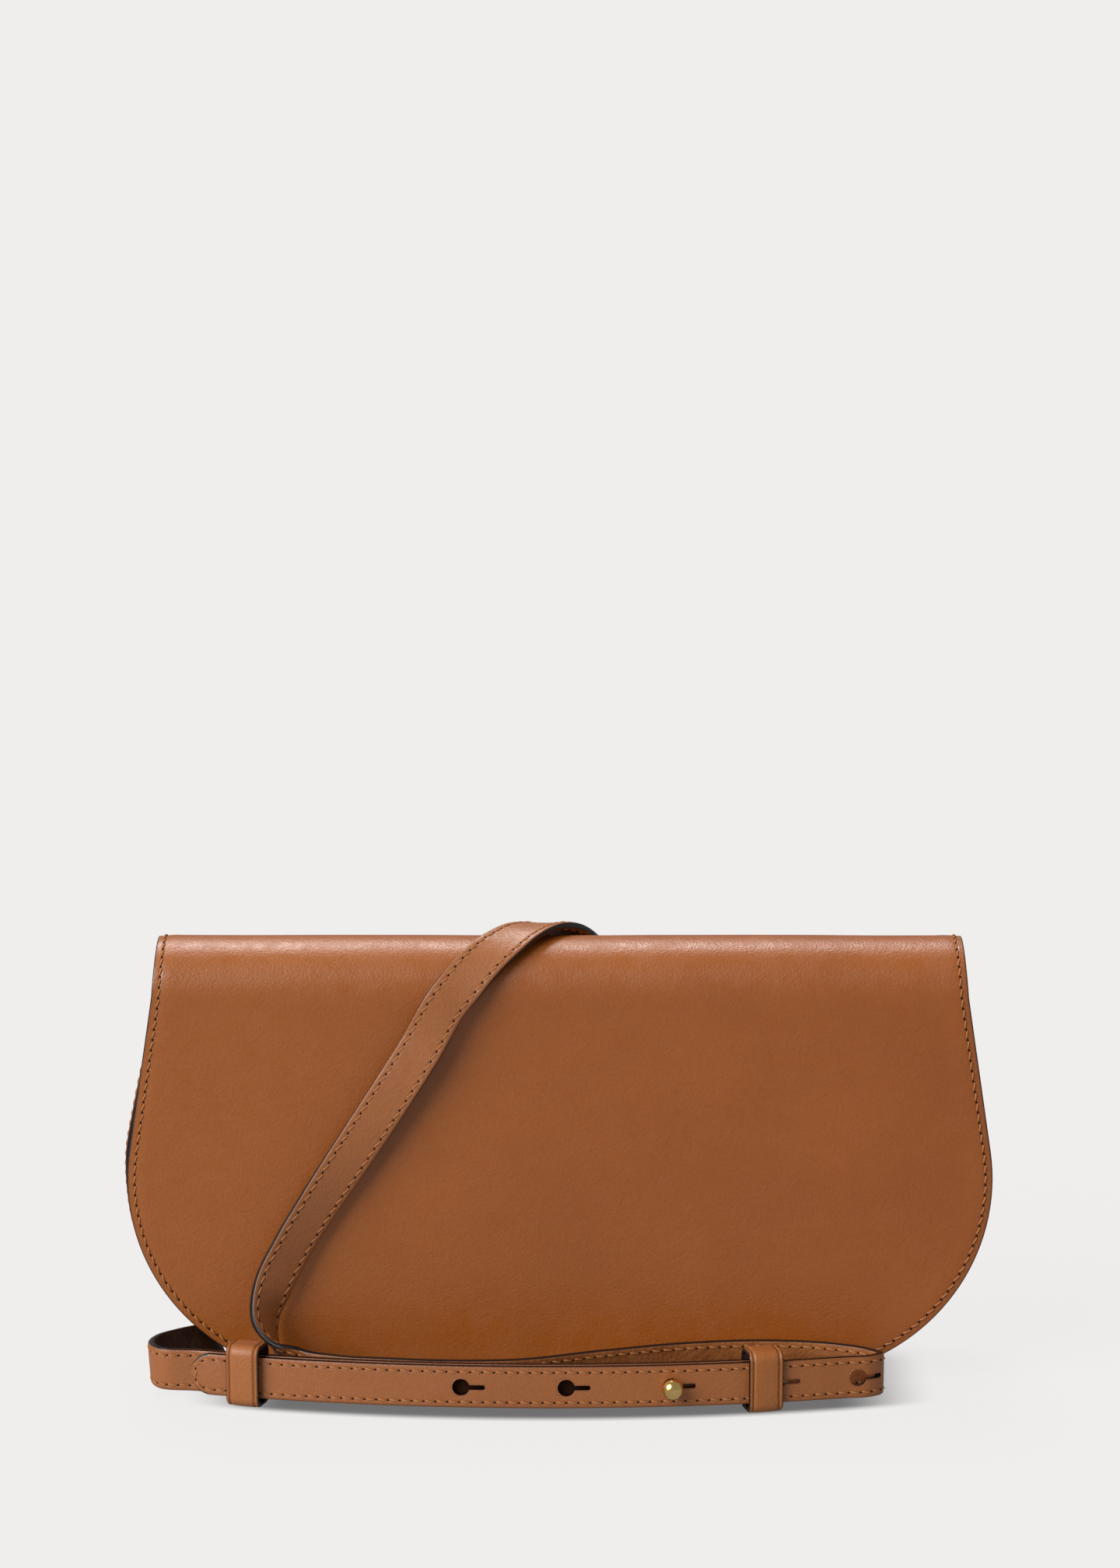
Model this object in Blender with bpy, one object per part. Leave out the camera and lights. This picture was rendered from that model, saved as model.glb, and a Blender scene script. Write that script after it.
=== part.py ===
"""Crossbody purse: a half-round flap bag with a long strap held by two keepers and a ball stud.

Frame: origin under the middle of the bag on the surface it stands on, +X to the right, +Z up,
front of the bag towards -Y. Metres.
"""

import math

import bmesh
import bpy
import numpy as np
from mathutils import Matrix, Vector

MM = 0.001
GAP = 0.3 * MM                  # clearance between neighbouring pieces

# ---- driving dimensions --------------------------------------------------------------------
FLAP_HALF_WIDTH = 133.9 * MM    # widest half width of the flap
FLAP_CORNER_R = 62.5 * MM       # radius of the flap's lower corners
FLAP_BOTTOM = 2 * MM            # height of the flap's lower edge
FLAP_LEAN = math.radians(9)     # how far the flap's side edges lean inwards above the corners
BODY_HALF_WIDTH = 130.2 * MM    # the same four sizes for the body's panels and gusset
BODY_CORNER_R = 62 * MM
BODY_BOTTOM = 0.0
BODY_LEAN = math.radians(17)

LEATHER = 1.6 * MM              # panel and gusset leather
LINING = 0.8 * MM               # lining leather
FLAP_LEATHER = 1.6 * MM

ROLL_RADIUS = 16.5 * MM         # outer radius of the roll over the top
ROLL_Y = -2.5 * MM              # centre of the roll
ROLL_Z = 122.5 * MM
FRONT_FOOT_Y = -22 * MM         # flap's outer face at its lower edge
BACK_FOOT_Y = 18 * MM           # back panel's outer face at the bottom

HINGE_Y = 17.5 * MM             # fold line of the flap, just behind the back panel's top edge
HINGE_Z = 122 * MM

STRAP_WIDTH = 13.4 * MM
STRAP_THICK = 2.3 * MM
STRAP_FLOOR = 2.9 * MM          # lower edge of the strap where it stands on edge
RUN_APEX_X = -3 * MM            # the strap's front run is a shallow arc in plan
RUN_APEX_Y = -55 * MM
RUN_RADIUS = 410 * MM
TONGUE_TIP_X = -114 * MM
TONGUE_POINT = 7 * MM           # length of the tongue's pointed end

KEYHOLE_PITCH = 32.1 * MM
KEYHOLE_FIRST_X = -30.2 * MM
KEYHOLE_COUNT = 4
KEYHOLE_R = 2.65 * MM
KEYHOLE_SLOT_END = 7.4 * MM     # from the round hole's centre to the end of the slot
KEYHOLE_SLOT_HALF = 0.75 * MM
STUD_HEAD_R = 3.25 * MM
STUD_NECK_R = 1.3 * MM

KEEPER_WALL = 1.6 * MM
KEEPER_HEIGHT = 19.8 * MM
KEEPER_PLAY = 1.1 * MM          # room around the two straps, front and back
KEEPER_YAW = math.radians(5)    # each keeper sits a little askew on the straps
KEEPER_X = {"left": -96.4 * MM, "right": 62.2 * MM}
KEEPER_LONG = {"left": 10.8 * MM, "right": 11.0 * MM}

RING_WIRE_R = 1.2 * MM
RING_HALF = 8.3 * MM            # half the spacing of the ring's side wires
RING_DROP = 11 * MM             # from the ring's upper bar to its lower bar
RING_TILT = math.radians(8)     # how far the hanging ring stands off the gusset
RING_Y = 2.5 * MM
RING_Z = 118.5 * MM             # height of the ring's upper bar
BAR_PLAY = 0.4 * MM             # room between the ring's lower bar and the strap loop
CURL_R = 2.65 * MM              # centre radius of the leather curled round a bar
TAB_WIDTH = 13 * MM
TAB_THICK = 1.5 * MM

FRONT_TOP = 112 * MM            # top edge of the front panel
GUSSET_TOP = 116 * MM
MAGNET_Z = 38 * MM
MAGNET_R = 8 * MM
MAGNET_THICK = 1.0 * MM

# ---- colours: base colour, roughness, metallic ----------------------------------------------
FINISH = {
    "tan_leather": ((0.36, 0.13, 0.035), 0.48, 0.0),
    "strap_leather": ((0.36, 0.13, 0.04), 0.5, 0.0),
    "lining": ((0.42, 0.24, 0.12), 0.8, 0.0),
    "board": ((0.30, 0.24, 0.18), 0.9, 0.0),
    "gold": ((0.83, 0.58, 0.24), 0.22, 1.0),
    "steel": ((0.6, 0.6, 0.6), 0.35, 1.0),
}


# ---- shared helpers ---------------------------------------------------------------------------
def clear_scene():
    for obj in list(bpy.data.objects):
        bpy.data.objects.remove(obj, do_unlink=True)


def own_material(name, finish):
    colour, roughness, metallic = FINISH[finish]
    material = bpy.data.materials.new(name)
    material.use_nodes = True
    shader = material.node_tree.nodes["Principled BSDF"]
    shader.inputs["Base Color"].default_value = (*colour, 1.0)
    shader.inputs["Roughness"].default_value = roughness
    shader.inputs["Metallic"].default_value = metallic
    return material


def add_object(name, verts, faces, finish, origin=(0, 0, 0)):
    """One closed mesh, faces turned outwards, with its origin at the given point."""
    shift = Vector(origin)
    mesh = bpy.data.meshes.new(name)
    mesh.from_pydata([Vector(v) - shift for v in verts], [], faces)
    bm = bmesh.new()
    bm.from_mesh(mesh)
    bmesh.ops.recalc_face_normals(bm, faces=bm.faces)
    if bm.calc_volume(signed=True) < 0:
        bmesh.ops.reverse_faces(bm, faces=bm.faces)
    bm.to_mesh(mesh)
    bm.free()
    mesh.materials.append(own_material(name, finish))
    obj = bpy.data.objects.new(name, mesh)
    obj.location = shift
    bpy.context.scene.collection.objects.link(obj)
    return obj


def loft(sections, closed=False):
    """Vertices and faces of a skin over equal-length closed sections, capped unless closed."""
    count = len(sections[0])
    verts = [v for section in sections for v in section]
    faces = []
    spans = len(sections) if closed else len(sections) - 1
    for i in range(spans):
        a = i * count
        b = ((i + 1) % len(sections)) * count
        for k in range(count):
            n = (k + 1) % count
            faces.append((a + k, a + n, b + n, b + k))
    if not closed:
        faces.append(tuple(range(count)))
        faces.append(tuple(range((len(sections) - 1) * count, len(sections) * count)))
    return verts, faces


def smooth_shade(obj, angle=40):
    obj.data.shade_smooth()
    obj.data.set_sharp_from_angle(angle=math.radians(angle))


def cut(obj, cutter):
    """Cuts the cutter out of the object; the cutter stays as a wire guide."""
    cutter.hide_render = True
    cutter.display_type = "WIRE"
    modifier = obj.modifiers.new("cut_" + cutter.name, "BOOLEAN")
    modifier.operation = "DIFFERENCE"
    modifier.object = cutter


# ---- the half-round outline ---------------------------------------------------------------------
def half_outline(half_width, radius, bottom, lean, inset, top, steps=14):
    """Points (x, z) of the right half, from the bottom's middle side up to the top edge."""
    cx = half_width - radius
    cz = bottom + radius
    r = radius - inset
    points = []
    for i in range(steps + 1):
        a = -math.pi / 2 + (lean + math.pi / 2) * i / steps
        points.append((cx + r * math.cos(a), cz + r * math.sin(a)))
    x, z = points[-1]
    points.append((x - math.tan(lean) * (top - z), top))
    return points


def full_outline(half):
    """The right half and its mirror image, as one open path from top right to top left."""
    return list(reversed(half)) + [(-x, z) for x, z in half]


def body_path(inset, top):
    half = half_outline(BODY_HALF_WIDTH, BODY_CORNER_R, BODY_BOTTOM, BODY_LEAN, inset, top)
    return full_outline(half)


def front_plane(z, depth=0.0):
    """Y of the flap's outer face at height z, moved back by depth."""
    share = (z - FLAP_BOTTOM) / (ROLL_Z - FLAP_BOTTOM)
    top_y = ROLL_Y - ROLL_RADIUS
    return FRONT_FOOT_Y + (top_y - FRONT_FOOT_Y) * share + depth


def back_plane(z, depth=0.0):
    """Y of the back panel's outer face at height z, moved forward by depth."""
    share = z / HINGE_Z
    top_y = ROLL_Y + ROLL_RADIUS
    return BACK_FOOT_Y + (top_y - BACK_FOOT_Y) * share - depth


def slab(name, outline, near, far, finish):
    """A sheet of the given outline between two leaning planes."""
    front = [(x, near(z), z) for x, z in outline]
    back = [(x, far(z), z) for x, z in outline]
    verts, faces = loft([front, back])
    return add_object(name, verts, faces, finish)


FLAP_STACK = FLAP_LEATHER + GAP + LINING                  # flap leather and its lining
CLOSURE = 3 * GAP + 2 * MAGNET_THICK                      # room for the two magnet plates
BODY_FRONT = FLAP_STACK + CLOSURE                         # flap face to front panel's face
LINING_GAP = 1.0 * MM                                     # panel to lining, room for a washer
FRONT_LINING_DEPTH = BODY_FRONT + LEATHER + LINING_GAP
BACK_LINING_DEPTH = LEATHER + LINING_GAP
FLANGE = 7 * MM
FLANGE_THICK = 1.0 * MM
LINING_INSET = 10 * MM


# ---- body ------------------------------------------------------------------------------------
def make_panels():
    back = body_path(0, HINGE_Z - 0.15 * MM)
    slab("back_panel", back, lambda z: back_plane(z, LEATHER), back_plane, "tan_leather")
    front = body_path(0, FRONT_TOP)
    slab("front_panel", front, lambda z: front_plane(z, BODY_FRONT),
         lambda z: front_plane(z, BODY_FRONT + LEATHER), "tan_leather")


def make_linings():
    back = body_path(LINING_INSET, GUSSET_TOP + 2 * MM)
    slab("back_lining", back, lambda z: back_plane(z, BACK_LINING_DEPTH + LINING),
         lambda z: back_plane(z, BACK_LINING_DEPTH), "lining")
    front = body_path(LINING_INSET, FRONT_TOP - 1 * MM)
    slab("front_lining", front, lambda z: front_plane(z, FRONT_LINING_DEPTH),
         lambda z: front_plane(z, FRONT_LINING_DEPTH + LINING), "lining")


def make_slip_pocket():
    """A flat patch pocket on the back lining."""
    half_w, low, high, r = 72 * MM, 34 * MM, 100 * MM, 8 * MM
    outline = [(half_w, high)]
    for i in range(5):
        a = -math.pi / 2 * i / 4
        outline.append((half_w - r + r * math.cos(a), low + r + r * math.sin(a)))
    outline += [(-x, z) for x, z in reversed(outline)]
    depth = BACK_LINING_DEPTH + LINING + GAP
    slab("slip_pocket", outline, lambda z: back_plane(z, depth + LINING),
         lambda z: back_plane(z, depth), "lining")


def gusset_strip(name, corners, top, finish):
    """Sweeps a section along the body's outline. A corner is (inset, side, depth from that side)."""
    paths = [body_path(inset, top) for inset, side, depth in corners]
    sections = []
    for i in range(len(paths[0])):
        section = []
        for path, (inset, side, depth) in zip(paths, corners):
            x, z = path[i]
            y = front_plane(z, depth) if side == "front" else back_plane(z, depth)
            section.append((x, y, z))
        sections.append(section)
    verts, faces = loft(sections)
    return add_object(name, verts, faces, finish)


def make_gusset():
    """The side strip, with a flange along each edge that is sewn to a panel."""
    f = BODY_FRONT + LEATHER + GAP
    b = LEATHER + GAP
    corners = [
        (0, "front", f), (0, "back", b),
        (FLANGE, "back", b), (FLANGE, "back", b + FLANGE_THICK),
        (LEATHER, "back", b + FLANGE_THICK), (LEATHER, "front", f + FLANGE_THICK),
        (FLANGE, "front", f + FLANGE_THICK), (FLANGE, "front", f),
    ]
    gusset_strip("gusset", corners, GUSSET_TOP, "tan_leather")
    inner = 3.4 * MM            # the lining runs this far inside the gusset's outer face
    f += FLANGE_THICK + 1 * MM
    b += FLANGE_THICK + 1 * MM
    corners = [(inner, "front", f), (inner, "back", b),
               (inner + LINING, "back", b), (inner + LINING, "front", f)]
    gusset_strip("gusset_lining", corners, GUSSET_TOP - 0.5 * MM, "lining")


def make_base_board():
    """A stiffening board between the gusset and its lining, along the flat bottom."""
    low = BODY_BOTTOM + LEATHER + GAP
    half_x, front, back, thick = 64 * MM, -10.5 * MM, 11.5 * MM, 1.2 * MM
    rect = [(-half_x, front), (half_x, front), (half_x, back), (-half_x, back)]
    verts, faces = loft([[(x, y, low) for x, y in rect], [(x, y, low + thick) for x, y in rect]])
    add_object("base_board", verts, faces, "board")


# ---- magnetic closure ---------------------------------------------------------------------------
def disc(name, depth, radius, thick, finish, steps=24):
    """A round plate parallel to the flap's face, at the closure's height."""
    rings = []
    for extra in (0, thick):
        ring = []
        for i in range(steps):
            a = 2 * math.pi * i / steps
            x = radius * math.cos(a)
            z = MAGNET_Z + radius * math.sin(a)
            ring.append((x, front_plane(z, depth + extra), z))
        rings.append(ring)
    verts, faces = loft(rings)
    return add_object(name, verts, faces, finish)


def make_closure():
    disc("magnet_flap", FLAP_STACK + GAP, MAGNET_R, MAGNET_THICK, "gold")
    disc("magnet_front", FLAP_STACK + 2 * GAP + MAGNET_THICK, MAGNET_R, MAGNET_THICK, "gold")
    disc("magnet_washer", BODY_FRONT + LEATHER + 0.2 * MM, 9 * MM, 0.6 * MM, "steel")


# ---- flap ------------------------------------------------------------------------------------
def flap_rows(depth, thick, inset):
    """Rows of (half width, outer y, outer z, inner y, inner z) from the lower edge to the fold."""
    half = half_outline(FLAP_HALF_WIDTH, FLAP_CORNER_R, FLAP_BOTTOM, FLAP_LEAN, inset, ROLL_Z)
    rows = []
    for x, z in half:
        rows.append((x, front_plane(z, depth), z, front_plane(z, depth + thick), z))
    x_top = half[-1][0]
    outer = ROLL_RADIUS - depth
    steps = 14
    for i in range(1, steps + 1):
        a = math.pi * i / steps
        x = x_top - math.tan(FLAP_LEAN) * ROLL_RADIUS * 0.5 * math.sin(min(a, math.pi / 2))
        y_dir, z_dir = -math.cos(a), math.sin(a)
        lift = 0.0 if i < steps else -0.3 * MM
        rows.append((x, ROLL_Y + outer * y_dir, ROLL_Z + outer * z_dir + lift,
                     ROLL_Y + (outer - thick) * y_dir, ROLL_Z + (outer - thick) * z_dir + lift))
    return rows


def make_flap():
    """The flap's leather and lining: a flat face, then a half-round roll back to the fold."""
    for name, depth, thick, inset, finish in (
            ("flap_leather", 0.0, FLAP_LEATHER, 0.0, "tan_leather"),
            ("flap_lining", FLAP_LEATHER + GAP, LINING, 0.6 * MM, "lining")):
        sections = []
        for x, yo, zo, yi, zi in flap_rows(depth, thick, inset):
            sections.append([(-x, yo, zo), (x, yo, zo), (x, yi, zi), (-x, yi, zi)])
        verts, faces = loft(sections)
        flap = add_object(name, verts, faces, finish, origin=(0, HINGE_Y, HINGE_Z))
        smooth_shade(flap, 30)


# ---- ribbons: straps, tabs and loops -------------------------------------------------------------
def spline(points, step):
    """A smooth curve through the points (chord-length cubic), sampled at about the given step."""
    pts = np.array(points, float)
    chord = np.linalg.norm(np.diff(pts[:, :3], axis=0), axis=1)
    knots = np.concatenate([[0], np.cumsum(chord)])
    slopes = np.zeros_like(pts)
    rate = np.diff(pts, axis=0) / chord[:, None]
    slopes[0], slopes[-1] = rate[0], rate[-1]
    for i in range(1, len(pts) - 1):
        share = chord[i] / (chord[i - 1] + chord[i])
        slopes[i] = rate[i - 1] * share + rate[i] * (1 - share)
    out = []
    for i, length in enumerate(chord):
        n = max(1, int(round(length / step)))
        for k in range(n):
            t = k / n
            h = ((1 + 2 * t) * (1 - t) ** 2, t * (1 - t) ** 2, t * t * (3 - 2 * t), t * t * (t - 1))
            out.append(h[0] * pts[i] + h[1] * length * slopes[i]
                       + h[2] * pts[i + 1] + h[3] * length * slopes[i + 1])
    out.append(pts[-1])
    return np.array(out)


def ribbon_sections(samples, width, thick, end_widths=None, trim=None):
    """Rectangular sections along samples of (x, y, z, outer face normal).

    trim is (index, height): that end section is slid along the strap to lie level at the height.
    """
    places = samples[:, :3]
    tangents = np.gradient(places, axis=0)
    sections = []
    for i, (p, d) in enumerate(zip(places, tangents)):
        d = Vector(d).normalized()
        side = d.cross(Vector(samples[i, 3:6])).normalized()
        outward = side.cross(d)
        half = width / 2 * (end_widths[i] if end_widths is not None else 1.0)
        p = Vector(p)
        s, o = side * half, outward * thick / 2
        sections.append([p + s + o, p - s + o, p - s - o, p + s - o])
    if trim is not None:
        index, height = trim
        d = Vector(tangents[index])
        sections[index] = [v + d * ((height - v.z) / d.z) for v in sections[index]]
    return sections


def ribbon(name, samples, width, thick, finish, origin=(0, 0, 0), end_widths=None, trim=None):
    verts, faces = loft(ribbon_sections(samples, width, thick, end_widths, trim))
    obj = add_object(name, verts, faces, finish, origin)
    smooth_shade(obj, 35)
    return obj


def run_arc(x, offset=0.0):
    """A point of the strap's front run in plan, moved towards the bag by offset, and its outward normal."""
    r = RUN_RADIUS - offset
    a = math.asin((x - RUN_APEX_X) / RUN_RADIUS)
    centre_y = RUN_APEX_Y + RUN_RADIUS
    return (RUN_APEX_X + r * math.sin(a), centre_y - r * math.cos(a)), (math.sin(a), -math.cos(a))


STRAP_MID_Z = STRAP_FLOOR + STRAP_WIDTH / 2
LAYER = STRAP_THICK + GAP


def roll_point(angle_deg, x, lift=0.7):
    """Centre line of the strap where it lies on the roll, measured from the front face over the top."""
    a = math.radians(angle_deg)
    r = ROLL_RADIUS + lift * MM + STRAP_THICK / 2
    n = (0.0, -math.cos(a), math.sin(a))
    return (x * MM, ROLL_Y + r * n[1], ROLL_Z + r * n[2], *n)


def face_point(x, z, lift, nx, nz):
    """Centre line of the strap where it hangs in front of the flap, turned by its normal (nx, -1, nz)."""
    y = front_plane(z * MM) - lift * MM - STRAP_THICK / 2
    return (x * MM, y, z * MM, nx, -1.0, nz)


def floor_point(x, y, nx, ny, nz=0.0):
    """Centre line of the strap where it stands on edge."""
    return (x * MM, y * MM, STRAP_MID_Z, nx, ny, nz)


def arc_points(first, last, count, offset, sign):
    """Samples along the front run; sign tells whether the outer face looks away from the bag."""
    points = []
    for i in range(count + 1):
        (x, y), (nx, ny) = run_arc(first + (last - first) * i / count, offset)
        points.append((x, y, STRAP_MID_Z, sign * nx, sign * ny, 0.0))
    return points


def long_strap_front():
    """Over the roll, down the face, round the lower left turn, along the bottom and back."""
    points = [
        roll_point(177, 12, 0.5), roll_point(165, 9.9, 0.6), roll_point(150, 7.1),
        roll_point(135, 3.9, 0.9), roll_point(120, 0.2, 1.1), roll_point(105, -3.8, 1.2),
        roll_point(90, -8.1, 1.2), roll_point(75, -12.5, 1.2), roll_point(60, -16.8, 1.2),
        roll_point(45, -21.8, 1.4), roll_point(30, -26.5, 1.9), roll_point(15, -30.8, 2.6),
        roll_point(2, -34.6, 3.2), face_point(-43, 108, 3.4, 0.06, 0.14),
        face_point(-53.2, 91.5, 3.2, 0.12, 0.04), face_point(-63.8, 75.4, 3.2, 0.22, -0.02),
        face_point(-74, 60, 3.6, 0.34, -0.06), face_point(-82.6, 46, 4.1, 0.48, -0.06),
        (-88.8 * MM, -27.8 * MM, 33.6 * MM, 0.52, -0.85, 0.0),
        (-91.2 * MM, -29.4 * MM, 23.2 * MM, 0.85, -0.5, 0.1),
        (-87.6 * MM, -32.6 * MM, 14.6 * MM, 0.75, 0.3, 0.6),
        (-81 * MM, -37.4 * MM, 10.4 * MM, 0.3, 0.95, 0.2),
        floor_point(-70, -42.9, 0.15, 1.0),
        floor_point(-53, -46.3, 0.1, 1.0), floor_point(-34, -48.4, 0.05, 1.0),
        floor_point(-14, -47.6, -0.2, 1.0), floor_point(14, -37.8, -0.3, 0.95),
        floor_point(40, -30, -0.2, 0.98), floor_point(68, -27.6, 0.05, 1.0),
        floor_point(86, -31.4, 0.4, 0.92), floor_point(95.8, -36.9, 0.6, 0.8),
        floor_point(98.6, -40.4, 1.0, 0.0), floor_point(95.4, -43.4, 0.2, -0.98),
    ]
    points += arc_points(88 * MM, TONGUE_TIP_X, 18, 0.0, 1)
    return spline(points, 4 * MM)


def tongue_widths(samples):
    """Full width along the strap, narrowing to a rounded point at the tongue's end."""
    back = samples[::-1, :3]
    steps = np.linalg.norm(np.diff(back, axis=0), axis=1)
    distance = np.concatenate([[0], np.cumsum(steps)])[::-1]
    share = np.clip(distance / TONGUE_POINT, 0.0, 1.0)
    return np.maximum((1 - (1 - share) ** 2) ** 0.62, 0.12)


def refine_tip(samples):
    """Adds stations along the tongue's point."""
    keep = samples[:-3]
    tail = samples[-4:]
    extra = []
    for a, b in zip(tail[:-1], tail[1:]):
        for k in range(1, 5):
            extra.append(a + (b - a) * k / 4)
    return np.array(list(keep) + extra)


def keyhole_cutter(index):
    """A round hole with a slot running to the right, as a prism through the strap."""
    x = KEYHOLE_FIRST_X + index * KEYHOLE_PITCH
    (px, py), (nx, ny) = run_arc(x)
    start = math.asin(KEYHOLE_SLOT_HALF / KEYHOLE_R)
    outline = []
    steps = 18
    for i in range(steps + 1):
        a = start + (2 * math.pi - 2 * start) * i / steps
        outline.append((KEYHOLE_R * math.cos(a), KEYHOLE_R * math.sin(a)))
    end = KEYHOLE_SLOT_END - KEYHOLE_SLOT_HALF
    for i in range(5):
        a = -math.pi / 2 + math.pi * i / 4
        outline.append((end + KEYHOLE_SLOT_HALF * math.cos(a), KEYHOLE_SLOT_HALF * math.sin(a)))
    layers = []
    for reach in (-2 * MM, 2 * MM):
        layers.append([(px - ny * u + nx * reach, py + nx * u + ny * reach, STRAP_MID_Z + v)
                       for u, v in outline])
    verts, faces = loft(layers)
    return add_object(f"keyhole_cutter_{index}", verts, faces, "steel")


def make_long_strap_front():
    samples = refine_tip(long_strap_front())
    strap = ribbon("strap_long_front", samples, STRAP_WIDTH, STRAP_THICK, "strap_leather",
                   (0, HINGE_Y, HINGE_Z), tongue_widths(samples), (0, HINGE_Z + GAP))
    for index in range(KEYHOLE_COUNT):
        cut(strap, keyhole_cutter(index))


def make_long_strap_rear():
    """From the right loop down in a hanging swag behind the bag and up to the fold."""
    points = [
        (128.3 * MM, RING_Y, 98.9 * MM, 1.0, 0.0, 0.2),
        (131.2 * MM, 6 * MM, 83 * MM, 1.0, 0.0, 0.1),
        (133.4 * MM, 15 * MM, 67 * MM, 1.0, 0.0, -0.1),
        (130.9 * MM, 24.3 * MM, 51 * MM, 0.9, 0.0, -0.5),
        (118 * MM, 27.5 * MM, 39 * MM, 0.6, 0.0, -0.8),
        (101 * MM, 28 * MM, 33.5 * MM, 0.2, 0.0, -1.0),
        (83 * MM, 27 * MM, 34 * MM, -0.1, 0.1, -1.0),
        (65 * MM, 25.5 * MM, 43 * MM, -0.5, 0.3, -0.8),
        (48.5 * MM, 23.4 * MM, 60 * MM, -0.65, 0.6, -0.5),
        (35 * MM, 20.2 * MM, 81 * MM, -0.3, 0.9, -0.2),
        (23.2 * MM, 17.4 * MM, 101 * MM, 0.0, 1.0, 0.0),
        (15 * MM, 15.75 * MM, 116 * MM, 0.0, 1.0, 0.0),
        (12.4 * MM, 15.6 * MM, 121.4 * MM, 0.0, 1.0, 0.0),
    ]
    ribbon("strap_long_rear", spline(points, 5 * MM), STRAP_WIDTH, STRAP_THICK, "strap_leather",
           trim=(-1, HINGE_Z - GAP))


def stud_frame():
    """Place of the stud on the front run: a matrix whose +Z points out of the strap."""
    x = KEYHOLE_FIRST_X + 2 * KEYHOLE_PITCH
    (px, py), (nx, ny) = run_arc(x)
    z_axis = Vector((nx, ny, 0))
    y_axis = Vector((0, 0, 1))
    x_axis = y_axis.cross(z_axis)
    frame = Matrix((x_axis, y_axis, z_axis)).transposed().to_4x4()
    frame.translation = (px, py, STRAP_MID_Z)
    return frame


def turned(name, profile, finish, frame, steps=24):
    """A turned piece: profile of (radius, height) from the lower pole to the upper one."""
    sections = []
    for r, h in profile[1:-1]:
        ring = []
        for i in range(steps):
            a = 2 * math.pi * i / steps
            ring.append(Vector((r * math.cos(a), r * math.sin(a), h)))
        sections.append(ring)
    verts, faces = loft(sections)
    verts += [Vector((0, 0, profile[0][1])), Vector((0, 0, profile[-1][1]))]
    low, high = len(verts) - 2, len(verts) - 1
    faces = faces[:-2]
    top = (len(sections) - 1) * steps
    for i in range(steps):
        n = (i + 1) % steps
        faces.append((low, n, i))
        faces.append((high, top + i, top + n))
    verts = [frame @ v for v in verts]
    obj = add_object(name, verts, faces, finish, frame.translation)
    smooth_shade(obj, 35)
    return obj


def make_stud():
    """A ball stud on the short strap, and the flat screw that holds it from behind."""
    frame = stud_frame()
    face = STRAP_THICK / 2
    foot = -face - GAP + 0.1 * MM
    ball = face + 0.5 * MM + STUD_HEAD_R * 0.86
    profile = [(0, foot), (STUD_NECK_R, foot)]
    start = -math.acos(STUD_NECK_R / STUD_HEAD_R)
    for i in range(10):
        a = start + (math.radians(80) - start) * i / 9
        profile.append((STUD_HEAD_R * math.cos(a), ball + STUD_HEAD_R * math.sin(a) * 0.86))
    profile.append((0, ball + STUD_HEAD_R * 0.86))
    turned("stud_head", profile, "gold", frame)
    back = -face - LAYER - 0.3 * MM
    profile = [(0, back - 1.1 * MM), (3.0 * MM, back - 1.1 * MM), (3.6 * MM, back - 0.7 * MM),
               (3.6 * MM, back), (STUD_NECK_R, back), (STUD_NECK_R, foot - 0.3 * MM),
               (0, foot - 0.3 * MM)]
    turned("stud_screw", profile, "gold", frame)


def short_strap():
    """From the left loop down the side, round the left bend, then under the tongue to its end."""
    points = [
        (-128.1 * MM, RING_Y, 101.4 * MM, -1.0, 0.0, 0.2),
        (-132.0 * MM, 4.5 * MM, 84 * MM, -1.0, 0.0, 0.2),
        (-134.8 * MM, 8 * MM, 70 * MM, -1.0, 0.0, 0.1),
        (-135.2 * MM, 12 * MM, 57 * MM, -1.0, 0.05, -0.1),
        (-133.6 * MM, 17 * MM, 43 * MM, -0.97, 0.1, -0.25),
        (-128.5 * MM, 20.5 * MM, 30 * MM, -0.93, 0.15, -0.35),
        (-121.5 * MM, 19.6 * MM, 17.6 * MM, -0.95, 0.15, -0.2),
        (-117.6 * MM, 12 * MM, 10.4 * MM, -1.0, 0.1, 0.0),
        floor_point(-115.8, 1, -1.0, 0.0),
        floor_point(-116.8, -9.6, -0.95, 0.3),
        floor_point(-121.2, -16.8, -0.8, 0.6, -0.05),
        floor_point(-125.6, -23.4, -0.95, 0.3, -0.06),
        floor_point(-126.2, -30, -1.0, -0.15, -0.06),
        floor_point(-123.4, -35, -0.7, -0.7, -0.05),
    ]
    points += arc_points(-113 * MM, 63 * MM, 16, LAYER, 1)
    return spline(points, 4 * MM)


def make_short_strap():
    """The short strap; its upper end is cut round, so that it swings clear of the left loop."""
    strap = ribbon("strap_short", short_strap(), STRAP_WIDTH, STRAP_THICK, "strap_leather",
                   (0, HINGE_Y, HINGE_Z))
    swing = Matrix.Rotation(math.radians(90), 4, "Y")
    swing.translation = (-130 * MM, HINGE_Y, HINGE_Z)
    clear_r, reach = 31.5 * MM, 12 * MM
    profile = [(0, -reach), (clear_r, -reach), (clear_r, reach), (0, reach)]
    cut(strap, turned("swing_cutter", profile, "steel", swing, 64))
    frame = stud_frame()
    profile = [(0, -8 * MM), (1.6 * MM, -8 * MM), (1.6 * MM, 1 * MM), (0, 1 * MM)]
    cut(strap, turned("stud_hole_cutter", profile, "steel", frame))


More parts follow.
